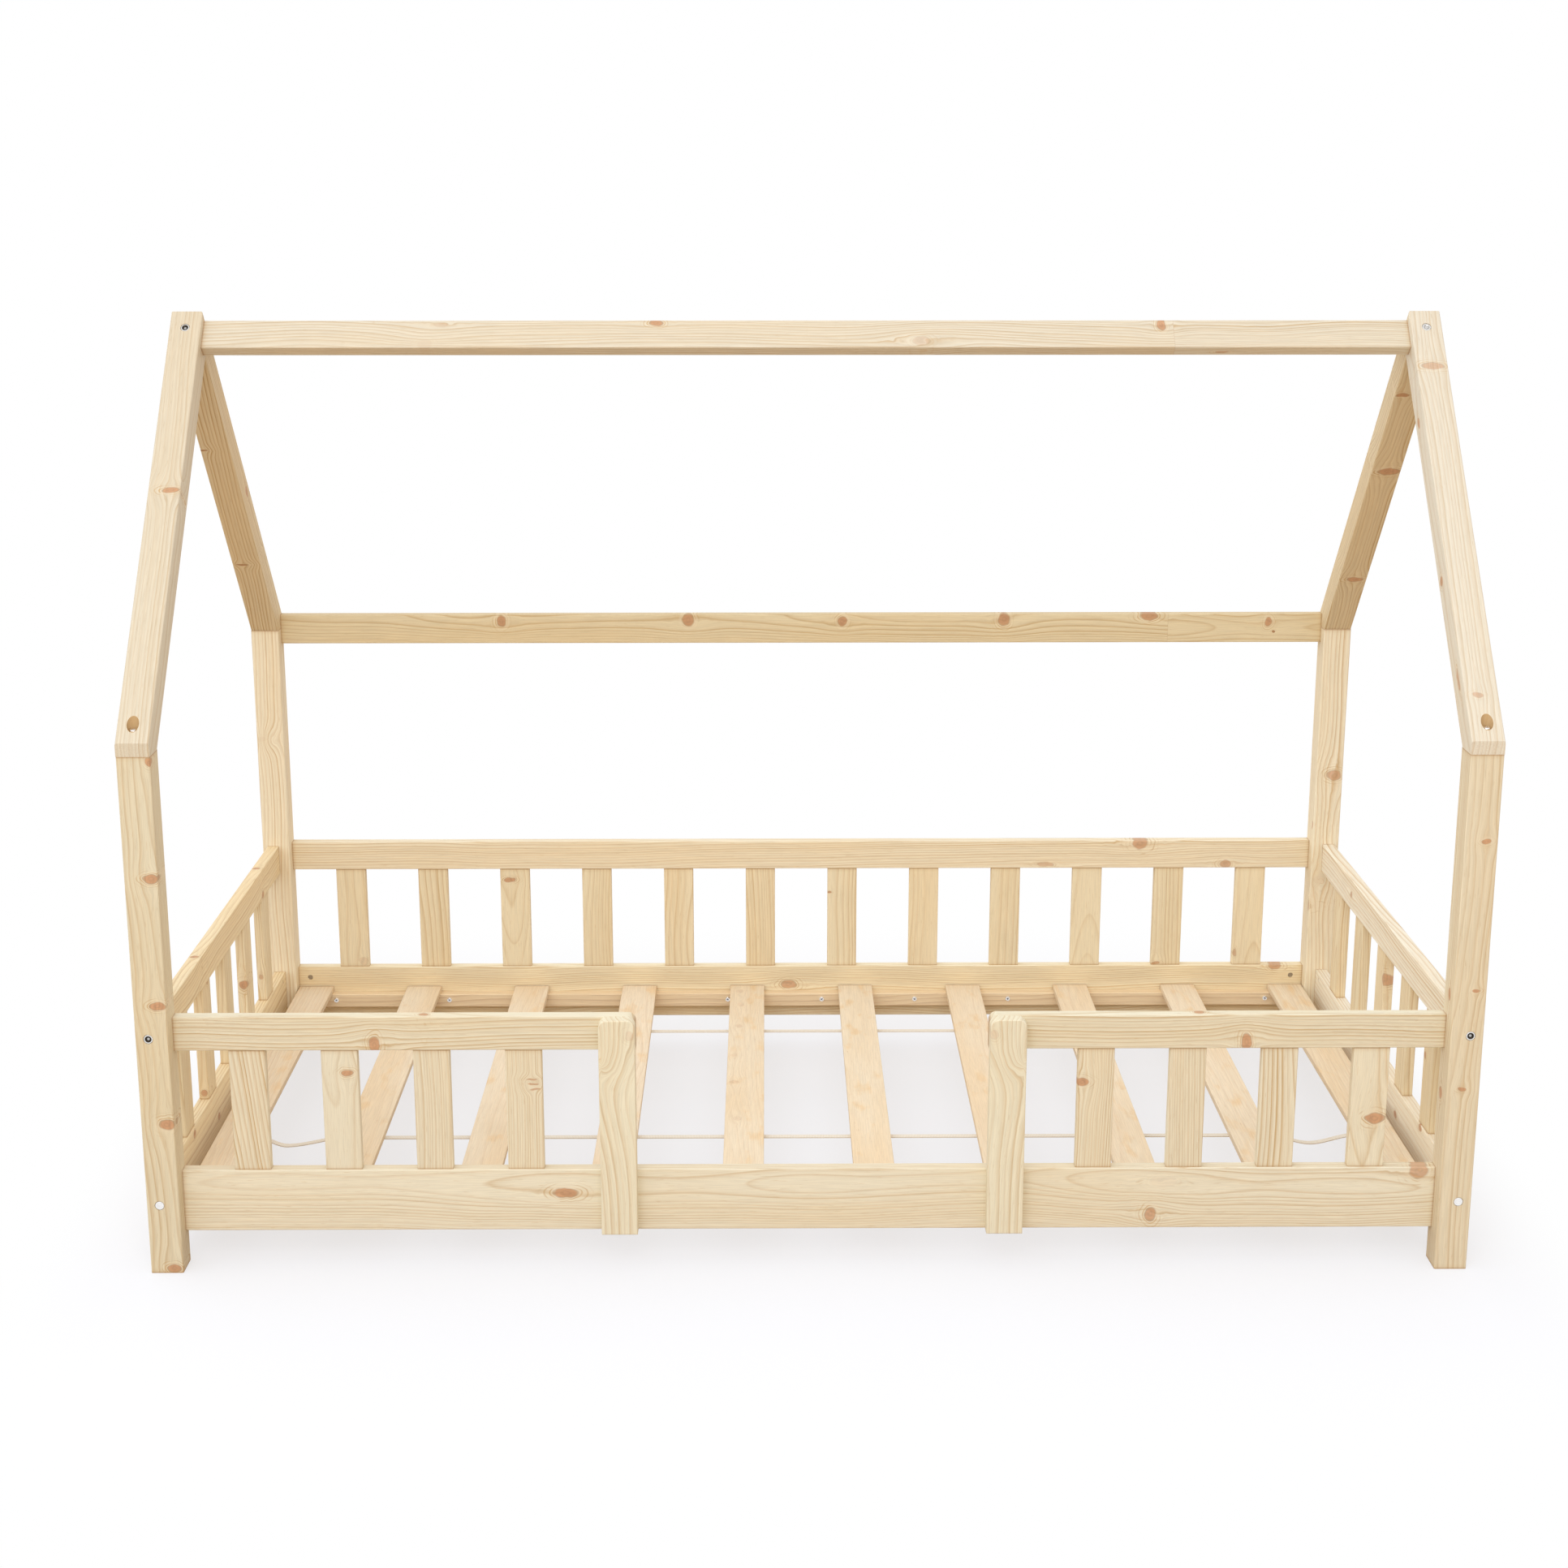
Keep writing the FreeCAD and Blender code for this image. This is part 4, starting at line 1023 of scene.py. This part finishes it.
def fastener_row_tree(name):
    """Like fasteners at given points, each along its own direction and turned by chance."""
    tree, given, result = new_group(
        name, "GeometryNodeTree",
        [("Object", "Places", "Shape", "Low shape"), ("Vector", "Way"), ("Float", "Level", "Most turn"),
         ("Int", "Seed"), ("Material", "Finish")],
        [("Geometry", "Fasteners")])
    places = put(tree, "GeometryNodeObjectInfo", given["Places"]).outputs["Geometry"]
    low = point_place(tree).dot(given["Way"]).calc("LESS_THAN", given["Level"])
    inward = put(tree, "GeometryNodeInputNamedAttribute", "inward", data_type="FLOAT_VECTOR").outputs[0]
    aligned = put(tree, "FunctionNodeAlignRotationToVector", None, 1.0, inward, axis="Z").outputs[0]
    chance = put(tree, "FunctionNodeRandomValue", None, None, 0.0, given["Most turn"], data_type="FLOAT")
    fill(chance.inputs["Seed"], given["Seed"])
    spin = put(tree, "FunctionNodeAxisAngleToRotation", AXIS_Z, chance.outputs[1]).outputs[0]
    turned = put(tree, "FunctionNodeRotateRotation", aligned, spin, rotation_space="LOCAL").outputs[0]
    both = tree.nodes.new("GeometryNodeJoinGeometry")
    for label, chosen in (("Low shape", low), ("Shape", 1.0 - low)):
        shape = put(tree, "GeometryNodeObjectInfo", given[label]).outputs["Geometry"]
        row = put(tree, "GeometryNodeInstanceOnPoints", places, chosen)
        fill(row.inputs["Instance"], shape)
        fill(row.inputs["Rotation"], turned)
        tree.links.new(row.outputs[0], both.inputs[0])
    fill(result["Fasteners"], finished(tree, both.outputs[0], given["Finish"]))
    return tree


def ribbon_tree(name):
    """A flat ribbon from end to end, slack in a gap near each end."""
    tree, given, result = new_group(
        name, "GeometryNodeTree",
        [("Vector", "Start", "End"), ("Float", "Width", "Thickness", "Dip"),
         ("Vector", "Left gap", "Right gap"), ("Int", "Steps"), ("Material", "Finish")],
        [("Geometry", "Ribbon")])
    path = put(tree, "GeometryNodeCurvePrimitiveLine", given["Start"], given["End"]).outputs[0]
    fine = put(tree, "GeometryNodeResampleCurve", path)
    fill(fine.inputs["Count"], given["Steps"])
    along = point_place(tree).parts()[0]
    slack = []
    for gap in ("Left gap", "Right gap"):
        begin, low, end = given[gap].parts()
        slack.append(along.step(begin, low) * along.step(low, end, 1.0, 0.0))
    drop = (slack[0] + slack[1]) * (given["Dip"] * -1.0)
    lowered = put(tree, "GeometryNodeSetPosition", fine.outputs[0])
    fill(lowered.inputs["Offset"], combined(tree, 0.0, 0.0, drop))
    outline = put(tree, "GeometryNodeCurvePrimitiveQuadrilateral", given["Width"], given["Thickness"])
    upright = put(tree, "GeometryNodeSetCurveNormal", lowered.outputs[0], mode="Z_UP").outputs[0]
    tape = put(tree, "GeometryNodeCurveToMesh", upright, outline.outputs[0])
    fill(tape.inputs["Fill Caps"], True)
    flat = put(tree, "GeometryNodeSetShadeSmooth", tape.outputs[0], True, False).outputs[0]
    fill(result["Ribbon"], finished(tree, flat, given["Finish"]))
    return tree


def linked(name, data):
    """A new object of the scene."""
    made = bpy.data.objects.new(name, data)
    bpy.context.scene.collection.objects.link(made)
    return made


def grown(name, tree, values):
    """Run a Geometry Nodes tree and keep its result as a plain mesh object."""
    piece = linked(name, bpy.data.meshes.new(name))
    modifier = piece.modifiers.new("Layout", "NODES")
    modifier.node_group = tree
    for item in tree.interface.items_tree:
        if item.item_type == "SOCKET" and item.in_out == "INPUT" and item.name in values:
            modifier[item.identifier] = values[item.name]
    graph = bpy.context.evaluated_depsgraph_get()
    mesh = bpy.data.meshes.new_from_object(piece.evaluated_get(graph), preserve_all_data_layers=True,
                                           depsgraph=graph)
    if not mesh.polygons:
        raise RuntimeError(f"{name} came out empty")
    piece.modifiers.remove(modifier)
    piece.data = mesh
    mesh.name = name
    return piece


def stand_for(piece, body, nodes):
    """Let a piece ride on a body in place of its CAD nodes."""
    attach(piece, body)
    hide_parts(*nodes)


def solids_of(node):
    """The corners of each separate solid in a CAD node."""
    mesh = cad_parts[node].data
    owner = {}
    label = []
    for vertex in mesh.vertices:
        key = tuple(round(value / SAME_CORNER) for value in vertex.co)
        label.append(owner.setdefault(key, len(owner)))
    leader = list(range(len(owner)))

    def lead(index):
        """The corner that stands for all corners joined with this one."""
        while leader[index] != index:
            leader[index] = leader[leader[index]]
            index = leader[index]
        return index

    for face in mesh.polygons:
        first = lead(label[face.vertices[0]])
        for corner in face.vertices[1:]:
            leader[lead(label[corner])] = first
    groups = {}
    for vertex, index in zip(mesh.vertices, label):
        groups.setdefault(lead(index), []).append(vertex.co.copy())
    return list(groups.values())


def box_of(corners):
    """The lowest and highest corner of some points."""
    low = Vector([min(corner[axis] for corner in corners) for axis in range(3)])
    high = Vector([max(corner[axis] for corner in corners) for axis in range(3)])
    return low, high


def middle_of(box):
    """The middle of a box."""
    return (box[0] + box[1]) / 2


def lay_row(name, boxes, axis, turn, sizes, material, chances, seed):
    """Lay a row of like boards where the CAD has them, each cut by chance within limits."""
    boxes = sorted(boxes, key=lambda box: box[0][axis])
    first = middle_of(boxes[0])
    values = {
        "Count": len(boxes), "First": first, "Turn": turn, "Seed": seed, "Finish": material,
        "Step": (middle_of(boxes[-1]) - first) / (len(boxes) - 1),
    }
    labels = ("Length", "Width", "Thickness", "Arris", "Tenon length", "Tenon width", "Tenon thickness")
    values.update(zip(labels, sizes))
    for label, (low, high) in zip(("Pith", "Lean", "Cut", "Tone"), chances):
        values[f"{label} low"] = Vector(low)
        values[f"{label} high"] = Vector(high)
    return grown(name, kept_group("Board row", board_row_tree), values)


def recut(piece, axis, cuts):
    """Give the boards of a row their cuts from a table, from the first to the last."""
    kept = piece.data.attributes
    middles = [round(item.vector[axis], 4) for item in kept["board_middle"].data]
    order = sorted(set(middles))
    for index, middle in enumerate(middles):
        across, depth, lean, sink, ring, contrast, seed = cuts[order.index(middle)]
        kept["board_pith"].data[index].vector = (0.0, across * MM, depth * MM)
        kept["board_lean"].data[index].vector = (0.0, lean * MM, sink * MM)
        kept["board_cut"].data[index].vector = (ring * MM, contrast, seed)


# Turned fasteners

def ring_points(kind, radius, depth, count):
    """The points of one ring of a turned shape: round, six-sided or cross-shaped."""
    points = []
    for index in range(count):
        angle = 2 * math.pi * index / count
        reach = radius
        if kind == "hex":
            sixth = math.pi / 3
            reach = radius / math.cos((angle + sixth / 2) % sixth - sixth / 2)
        if kind == "cross":
            quarter = math.pi / 2
            away = abs((angle + quarter / 2) % quarter - quarter / 2)
            reach = radius * (1.0 if away < quarter * CROSS_WING_SHARE else CROSS_WAIST_SHARE)
        points.append((reach * math.cos(angle), reach * math.sin(angle), depth))
    return points


def turned_shape(name, rings, count):
    """A closed turned solid along +Z from its first ring to its last; each ring carries its share of
    painted dark reflection, high in the recesses.
    """
    shape = bmesh.new()
    dark_reflection_layer = shape.verts.layers.float.new("recess")
    loops = []
    for kind, radius, depth, dark_reflection in rings:
        loop = [shape.verts.new(point) for point in ring_points(kind, radius * MM, depth * MM, count)]
        for vertex in loop:
            vertex[dark_reflection_layer] = dark_reflection
        loops.append(loop)
    for here, there in zip(loops, loops[1:]):
        for index in range(count):
            after = (index + 1) % count
            shape.faces.new((here[index], there[index], there[after], here[after]))
    shape.faces.new(loops[0])
    shape.faces.new(list(reversed(loops[-1])))
    bmesh.ops.recalc_face_normals(shape, faces=shape.faces)
    for face in shape.faces:
        face.smooth = False
    mesh = bpy.data.meshes.new(name)
    shape.to_mesh(mesh)
    shape.free()
    return linked(name, mesh)


def fastener_places(name, node, axis):
    """Points at the heads of a node's fasteners, each with its direction into the wood."""
    places = []
    side = axis.orthogonal().normalized()
    other = axis.cross(side)
    for corners in solids_of(node):
        along = [corner.dot(axis) for corner in corners]
        line = Vector()
        for direction in (side, other):
            reach = [corner.dot(direction) for corner in corners]
            line += direction * (min(reach) + max(reach)) / 2
        low, high = min(along), max(along)
        ends = [[], []]
        for corner, value in zip(corners, along):
            ends[value > (low + high) / 2].append((corner - axis * value - line).length)
        head_low = max(ends[0]) >= max(ends[1])
        places.append((line + axis * (low if head_low else high), axis if head_low else -axis, high - low))
    mesh = bpy.data.meshes.new(name)
    mesh.from_pydata([place for place, inward, length in places], [], [])
    inward_data = mesh.attributes.new("inward", "FLOAT_VECTOR", "POINT")
    for index, (place, inward, length) in enumerate(places):
        inward_data.data[index].vector = inward
    return linked(name, mesh), max(length for place, inward, length in places) / MM


def drive(name, node, axis, rings, material, seed, low_rings=None, way=AXIS_Z, level=0.0):
    """Put turned fasteners where a CAD node has them, those below a level one way in their own shape."""
    points, length = fastener_places(f"{name}_places", node, axis)
    count = settings().joinery.ring_points
    shape = turned_shape(f"{name}_shape", rings(length), count)
    low_shape = turned_shape(f"{name}_low_shape", (low_rings or rings)(length), count)
    values = {
        "Places": points, "Shape": shape, "Low shape": low_shape, "Way": way, "Level": level,
        "Most turn": 2 * math.pi, "Seed": seed, "Finish": material,
    }
    piece = grown(name, kept_group("Fastener row", fastener_row_tree), values)
    for helper in (points, shape, low_shape):
        mesh = helper.data
        bpy.data.objects.remove(helper)
        bpy.data.meshes.remove(mesh)
    stand_for(piece, "frame", (node,))


def shank_rings(radius, chamfer, tip_radius, length):
    """The plain end of a shank with its tip (mm)."""
    return ("round", radius, length - chamfer, 0.0), ("round", tip_radius, length, 0.0)


def closed_bolt_rings(length):
    """A bolt with a smooth low round head (mm)."""
    radius = BOLT_SIDE_RINGS[-1][1]
    return CLOSED_RINGS + BOLT_SIDE_RINGS + shank_rings(radius, BOLT_CHAMFER, BOLT_TIP_RADIUS, length)


def socket_bolt_rings(length):
    """The same bolt with a key socket (mm)."""
    return SOCKET_RINGS + closed_bolt_rings(length)[len(CLOSED_RINGS):]


def pale_bolt_rings(length):
    """The same bolt with less painted dark reflection, as its socket catches the light (mm)."""
    return tuple((kind, radius, depth, dark_reflection * PALE_SHARE)
                 for kind, radius, depth, dark_reflection in socket_bolt_rings(length))


def pan_rings(head, height, shank):
    """Rings of a screw with a low crowned head, a cross recess and a pointed shank (mm)."""
    crown = tuple((kind, head / 2 * across, height * down, dark_reflection)
                  for kind, across, down, dark_reflection in PAN_HEAD_SHARES)
    neck = (("round", shank / 2, height, 0.0),)
    return lambda length: crown + neck + shank_rings(shank / 2, SCREW_POINT, shank * PAN_TIP_SHARE, length)


def sunk_rings(length):
    """A screw with a flush cone head, a cross recess and a pointed shank (mm)."""
    return SUNK_HEAD_RINGS + shank_rings(SUNK_HEAD_RINGS[-1][1], SCREW_POINT, SUNK_TIP_RADIUS, length)


# Other finishes

def plated(name, colour, roughness):
    """Plated steel with faint smears, and a painted dark reflection in its recesses and round them."""
    tree, shader, material = new_material(name)
    smear = noise(object_place(tree) * SMEAR_RATE, 3.0)[0]
    # Painted dark reflection, kept on the rings of each head, mixed towards the recess colour
    dark_reflection = attribute(tree, "recess", "Fac")
    tint = smear.step(*SMEAR_TINT) * colour[:3]
    fill(shader.inputs["Base Color"], dark_reflection.mix(tint, settings().metal.recess))
    fill(shader.inputs["Roughness"], smear.step(*SMEAR_RANGE, roughness, roughness + SMEAR_ROUGHER))
    relieve(shader, smear, *SMEAR_RELIEF)
    shader.inputs["Metallic"].default_value = 1.0
    return material


def woven(name):
    """Plain-woven cotton tape: threads over and under, with softer edges."""
    finish = settings().ribbon
    tree, shader, material = new_material(name)
    place = object_place(tree)
    over, under = [(value * (math.pi / finish.pitch)).calc("SINE") for value in place.parts()[:2]]
    fuzz = noise(place * FUZZ_RATE, 2.0)[0]
    cloth = (over * under).calc("ABSOLUTE") + (fuzz - 0.5) * FUZZ_SHARE
    fill(shader.inputs["Base Color"], cloth.step(*CLOTH_STEP).mix(finish.gap, finish.thread))
    fill(shader.inputs["Roughness"], fuzz.step(*CLOTH_ROUGHNESS))
    relieve(shader, cloth, *CLOTH_RELIEF)
    return material


def dowel_wood(name):
    """Plain flecked hardwood of the dowels."""
    finish = settings().slats
    tree, shader, material = new_material(name)
    fleck = noise(object_place(tree) * FLECK_RATE, 3.0)[0]
    fill(shader.inputs["Base Color"], fleck.mix(finish.dowel_dark, finish.dowel_pale))
    fill(shader.inputs["Roughness"], fleck.step(*FLECK_ROUGHNESS))
    return material


def roof_slope():
    """The upward slope of the front rafters and the way their outer face looks."""
    low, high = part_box("front_left_rafter")
    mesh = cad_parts["front_left_rafter"].data
    eave_top = max(vertex.co.z for vertex in mesh.vertices if vertex.co.y < low.y + SAME_PLANE)
    up = Vector((0.0, high.y - low.y, high.z - eave_top)).normalized()
    return up, Vector((0.0, -up.z, up.y))


# The bed's pieces

class BED_OT_posts(bpy.types.Operator):
    """Finish the four posts in pine"""
    bl_idname = "house_bed.posts"
    bl_label = "Finish posts"

    def execute(self, context):
        for node in POSTS:
            finish_board(node, AXIS_Z, -AXIS_Y)
        return {"FINISHED"}


class BED_OT_rafters(bpy.types.Operator):
    """Finish the four rafters in pine"""
    bl_idname = "house_bed.rafters"
    bl_label = "Finish rafters"

    def execute(self, context):
        up, out = roof_slope()
        screws = [middle_of(box_of(corners)) for corners in solids_of("eave_screws")]
        for node in RAFTERS:
            flip = Vector((1, 1, 1)) if node.startswith("front") else Vector((1, -1, 1))
            middle = middle_of(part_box(node))
            bore = min(screws, key=lambda screw: (screw - middle).length)
            finish_board(node, up * flip, out * flip, ends=False, bore=bore)
        return {"FINISHED"}


class BED_OT_roof_beams(bpy.types.Operator):
    """Finish the ridge and eave beams in pine"""
    bl_idname = "house_bed.roof_beams"
    bl_label = "Finish roof beams"

    def execute(self, context):
        finish_board("ridge_beam", AXIS_X, roof_slope()[1])
        finish_board("eave_beam", AXIS_X, -AXIS_Y)
        return {"FINISHED"}


class BED_OT_rails(bpy.types.Operator):
    """Finish the long rails and the end rails in pine"""
    bl_idname = "house_bed.rails"
    bl_label = "Finish rails"

    def execute(self, context):
        for node in LONG_RAILS:
            finish_board(node, AXIS_X, -AXIS_Y)
        for node in END_RAILS:
            finish_board(node, AXIS_Y, AXIS_X if node.startswith("left") else -AXIS_X)
        return {"FINISHED"}


class BED_OT_stiles(bpy.types.Operator):
    """Finish the two entry stiles in pine"""
    bl_idname = "house_bed.stiles"
    bl_label = "Finish entry stiles"

    def execute(self, context):
        for node in STILES:
            finish_board(node, AXIS_Z, -AXIS_Y, ends=False)
        return {"FINISHED"}


class BED_OT_balusters(bpy.types.Operator):
    """Lay the balusters of the front, rear and end guards"""
    bl_idname = "house_bed.balusters"
    bl_label = "Lay balusters"

    def execute(self, context):
        joinery = settings().joinery
        tenon = (joinery.tenon_length, joinery.tenon_width, joinery.tenon_thickness)
        for name, nodes, axis, seed in BALUSTER_ROWS:
            boxes = [box_of(corners) for node in nodes for corners in solids_of(node)]
            size = boxes[0][1] - boxes[0][0]
            length = size.z - 2 * joinery.tenon_length
            sizes = (length, size[axis], size[1 - axis], joinery.baluster_arris, *tenon)
            face = -AXIS_Y if axis == 0 else AXIS_X
            knots = knots_on(nodes, BALUSTER_KNOTS[name])
            material = row_material(name, AXIS_Z, face, knots, length / 2, pine_palette())
            turn = (0.0, 0.0, math.pi / 2 * axis)
            chances = (*BALUSTER_CHANCES, FRONT_TONES if name.startswith("front") else REAR_TONES)
            piece = lay_row(f"{name}_balusters", boxes, axis, turn, sizes, material, chances, seed)
            stand_for(piece, "frame", nodes)
            if name in BALUSTER_CUTS:
                recut(piece, axis, BALUSTER_CUTS[name])
        return {"FINISHED"}


class BED_OT_ledges(bpy.types.Operator):
    """Finish the two ledges that carry the slats"""
    bl_idname = "house_bed.ledges"
    bl_label = "Finish ledges"

    def execute(self, context):
        for node in LEDGES:
            finish_board(node, AXIS_X, -AXIS_Y, ledge_palette())
        return {"FINISHED"}


class BED_OT_slats(bpy.types.Operator):
    """Lay the loose slats"""
    bl_idname = "house_bed.slats"
    bl_label = "Lay slats"

    def execute(self, context):
        boxes = [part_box(node) for node in SLATS]
        width, length, thickness = boxes[0][1] - boxes[0][0]
        knots = knots_on(SLATS, SLAT_KNOTS)
        material = row_material("slat_wood", AXIS_Y, AXIS_Z, knots, length / 2, slat_palette(),
                                SLAT_CLOUDS, SLAT_MOTTLE)
        sizes = (length, width, thickness, settings().joinery.slat_arris)
        turn = (-math.pi / 2, 0.0, 0.0)
        piece = lay_row("slats", boxes, 0, turn, sizes, material, SLAT_CHANCES, SLAT_SEED)
        stand_for(piece, "slat_base", SLATS)
        return {"FINISHED"}


class BED_OT_ribbons(bpy.types.Operator):
    """Sweep the two ribbons under the slats"""
    bl_idname = "house_bed.ribbons"
    bl_label = "Sweep ribbons"

    def execute(self, context):
        material = woven("ribbon_tape")
        slats = [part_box(node) for node in SLATS]
        thickness = settings().ribbon.thickness
        height = slats[0][0].z - thickness / 2
        gaps = []
        for before, after, share in RIBBON_SLACK:
            begin = slats[before][1].x
            end = slats[after][0].x
            gaps.append((begin, begin + (end - begin) * share, end))
        for node in RIBBONS:
            low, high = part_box(node)
            middle = (low.y + high.y) / 2
            values = {
                "Start": (low.x, middle, height), "End": (high.x, middle, height),
                "Width": high.y - low.y, "Thickness": thickness, "Dip": height - thickness / 2 - low.z,
                "Left gap": gaps[0], "Right gap": gaps[1], "Steps": RIBBON_STEPS, "Finish": material,
            }
            piece = grown(f"{node}_tape", kept_group("Slack ribbon", ribbon_tree), values)
            stand_for(piece, "slat_base", (node,))
        return {"FINISHED"}


class BED_OT_bolts(bpy.types.Operator):
    """Put in the frame bolts and their cross nuts"""
    bl_idname = "house_bed.bolts"
    bl_label = "Put in bolts and nuts"

    def execute(self, context):
        metal = settings().metal
        bright = plated("bright_bolt", metal.bright, BRIGHT_ROUGHNESS)
        drive("end_bolts", "end_rail_bolts", AXIS_Y, socket_bolt_rings, bright, 61, closed_bolt_rings,
              AXIS_Z, SMOOTH_BOLTS_BELOW)
        drive("long_bolts", "long_rail_bolts", AXIS_X, socket_bolt_rings, bright, 67)
        drive("ridge_bolts", "apex_bolts", roof_slope()[1], pale_bolt_rings, bright, 71,
              socket_bolt_rings, AXIS_X)
        dress("barrel_nuts", plated("dull_nut", metal.dull, NUT_ROUGHNESS))
        return {"FINISHED"}


class BED_OT_screws(bpy.types.Operator):
    """Drive the screws of the ledges, stiles and rafters"""
    bl_idname = "house_bed.screws"
    bl_label = "Drive screws"

    def execute(self, context):
        bright = plated("bright_screw", settings().metal.bright, BRIGHT_ROUGHNESS)
        drive("ledge_screw_row", "ledge_screws", AXIS_Y, pan_rings(*LEDGE_SCREW), bright, 73)
        drive("eave_screw_row", "eave_screws", AXIS_Z, pan_rings(*EAVE_SCREW), bright, 79)
        drive("stile_screw_row", "stile_screws", AXIS_Y, sunk_rings, bright, 83)
        return {"FINISHED"}


class BED_OT_hidden(bpy.types.Operator):
    """Finish the dowels and staples"""
    bl_idname = "house_bed.hidden"
    bl_label = "Finish dowels and staples"

    def execute(self, context):
        dress("slat_staples", plated("staple_wire", settings().metal.dull, WIRE_ROUGHNESS))
        dress("rail_dowels", dowel_wood("dowel_beech"))
        return {"FINISHED"}


# The stage

def seen_rays(tree):
    """One for rays by which the floor or world is seen, directly or in metal, else nought."""
    path = put(tree, "ShaderNodeLightPath").outputs
    seen = Wire(path["Is Camera Ray"]).calc("MAXIMUM", path["Is Glossy Ray"])
    return seen.calc("MAXIMUM", path["Is Transmission Ray"])


def lay_floor(studio):
    """A pale floor, white away from the bed, that keeps the bed's soft shadow."""
    half = studio.floor_size / 2
    mesh = bpy.data.meshes.new("studio_floor")
    corners = [(-half, -half, 0), (half, -half, 0), (half, half, 0), (-half, half, 0)]
    mesh.from_pydata(corners, [], [(0, 1, 2, 3)])
    material = bpy.data.materials.new("studio_paper")
    material.use_nodes = True
    tree = material.node_tree
    tree.nodes.clear()
    beside = object_place(tree).calc("ABSOLUTE") - (*CAD_BOX[1][:2], 0.0)
    beside = beside.calc("MAXIMUM", NOUGHT) * FLOOR_SQUEEZE
    white = beside.length().step(0.0, FLOOR_FADE, studio.shade_near, 1.0)
    shaded = put(tree, "ShaderNodeBsdfDiffuse", studio.floor_tint).outputs[0]
    plain = put(tree, "ShaderNodeBsdfDiffuse", studio.floor_bounce).outputs[0]
    glow = put(tree, "ShaderNodeEmission", WHITE, 1.0).outputs[0]
    shown = put(tree, "ShaderNodeMixShader", white, shaded, glow).outputs[0]
    both = put(tree, "ShaderNodeMixShader", seen_rays(tree), plain, shown).outputs[0]
    put(tree, "ShaderNodeOutputMaterial", both)
    mesh.materials.append(material)
    floor = linked("studio_floor", mesh)


def light_studio(scene, studio):
    """Soft light from all round, stronger from above, and one large lamp."""
    world = bpy.data.worlds.new("studio_dome")
    world.use_nodes = True
    tree = world.node_tree
    tree.nodes.clear()
    side, depth, height = Wire(put(tree, "ShaderNodeTexCoord").outputs["Generated"]).parts()
    strength = height.step(*SKY_HEIGHTS, studio.sky_low, studio.sky_high)
    tilt = side.calc("MINIMUM", 0.0) * -studio.side_tilt + 1.0
    tint = side.step(*SIDE_RANGE).mix(WHITE, RIGHT_TINT)
    dome = put(tree, "ShaderNodeBackground", tint, strength * tilt).outputs[0]
    white = put(tree, "ShaderNodeBackground", WHITE, 1.0).outputs[0]
    both = put(tree, "ShaderNodeMixShader", seen_rays(tree), dome, white).outputs[0]
    put(tree, "ShaderNodeOutputWorld", both)
    scene.world = world
    lamp = bpy.data.lights.new("key_lamp", "AREA")
    lamp.shape = "RECTANGLE"
    lamp.size, lamp.size_y = LAMP_SIZE
    lamp.energy = studio.key_power
    holder = linked("key_lamp", lamp)
    holder.location = LAMP_PLACE
    aim = Vector(LAMP_AIM) - Vector(LAMP_PLACE)
    holder.rotation_euler = aim.to_track_quat("-Z", "Y").to_euler()


class BED_OT_stage(bpy.types.Operator):
    """Set the floor, the light and the camera"""
    bl_idname = "house_bed.stage"
    bl_label = "Set stage"

    def execute(self, context):
        scene = context.scene
        scene.view_settings.view_transform = "Standard"
        studio = settings().studio
        lay_floor(studio)
        light_studio(scene, studio)
        camera = bpy.data.cameras.new("photo_camera")
        camera.sensor_width = SENSOR_MM
        camera.lens = studio.lens
        holder = linked("photo_camera", camera)
        holder.location = CAMERA_PLACE
        holder.rotation_euler = CAMERA_TURN
        scene.camera = holder
        return {"FINISHED"}


STEPS = (BED_OT_posts, BED_OT_rafters, BED_OT_roof_beams, BED_OT_rails, BED_OT_stiles, BED_OT_balusters,
         BED_OT_ledges, BED_OT_slats, BED_OT_ribbons, BED_OT_bolts, BED_OT_screws, BED_OT_hidden,
         BED_OT_stage)


class BED_PT_panel(bpy.types.Panel):
    """The bed's pieces and finishes"""
    bl_idname = "BED_PT_panel"
    bl_label = "House-frame bed"
    bl_space_type = "VIEW_3D"
    bl_region_type = "UI"
    bl_category = "Bed"

    def draw(self, context):
        layout = self.layout
        for made in STEPS:
            layout.operator(made.bl_idname)
        bed = context.scene.house_bed
        for group in (bed.pine, bed.slats, bed.metal, bed.ribbon, bed.joinery, bed.studio):
            column = layout.column(align=True)
            for label in group.__annotations__:
                column.prop(group, label)


CLASSES = (PineFinish, SlatFinish, MetalFinish, RibbonFinish, JoinerySizes, StudioSettings, BedSettings,
           *STEPS, BED_PT_panel)


def register():
    """Make the classes and the settings known."""
    for made in CLASSES:
        bpy.utils.register_class(made)
    bpy.types.Scene.house_bed = PointerProperty(type=BedSettings)


def unregister():
    """Take the classes and the settings away again."""
    del bpy.types.Scene.house_bed
    for made in reversed(CLASSES):
        bpy.utils.unregister_class(made)


def main():
    """Run each step in order."""
    register()
    for made in STEPS:
        area, name = made.bl_idname.split(".")
        getattr(getattr(bpy.ops, area), name)()


if __name__ == "__main__":
    main()
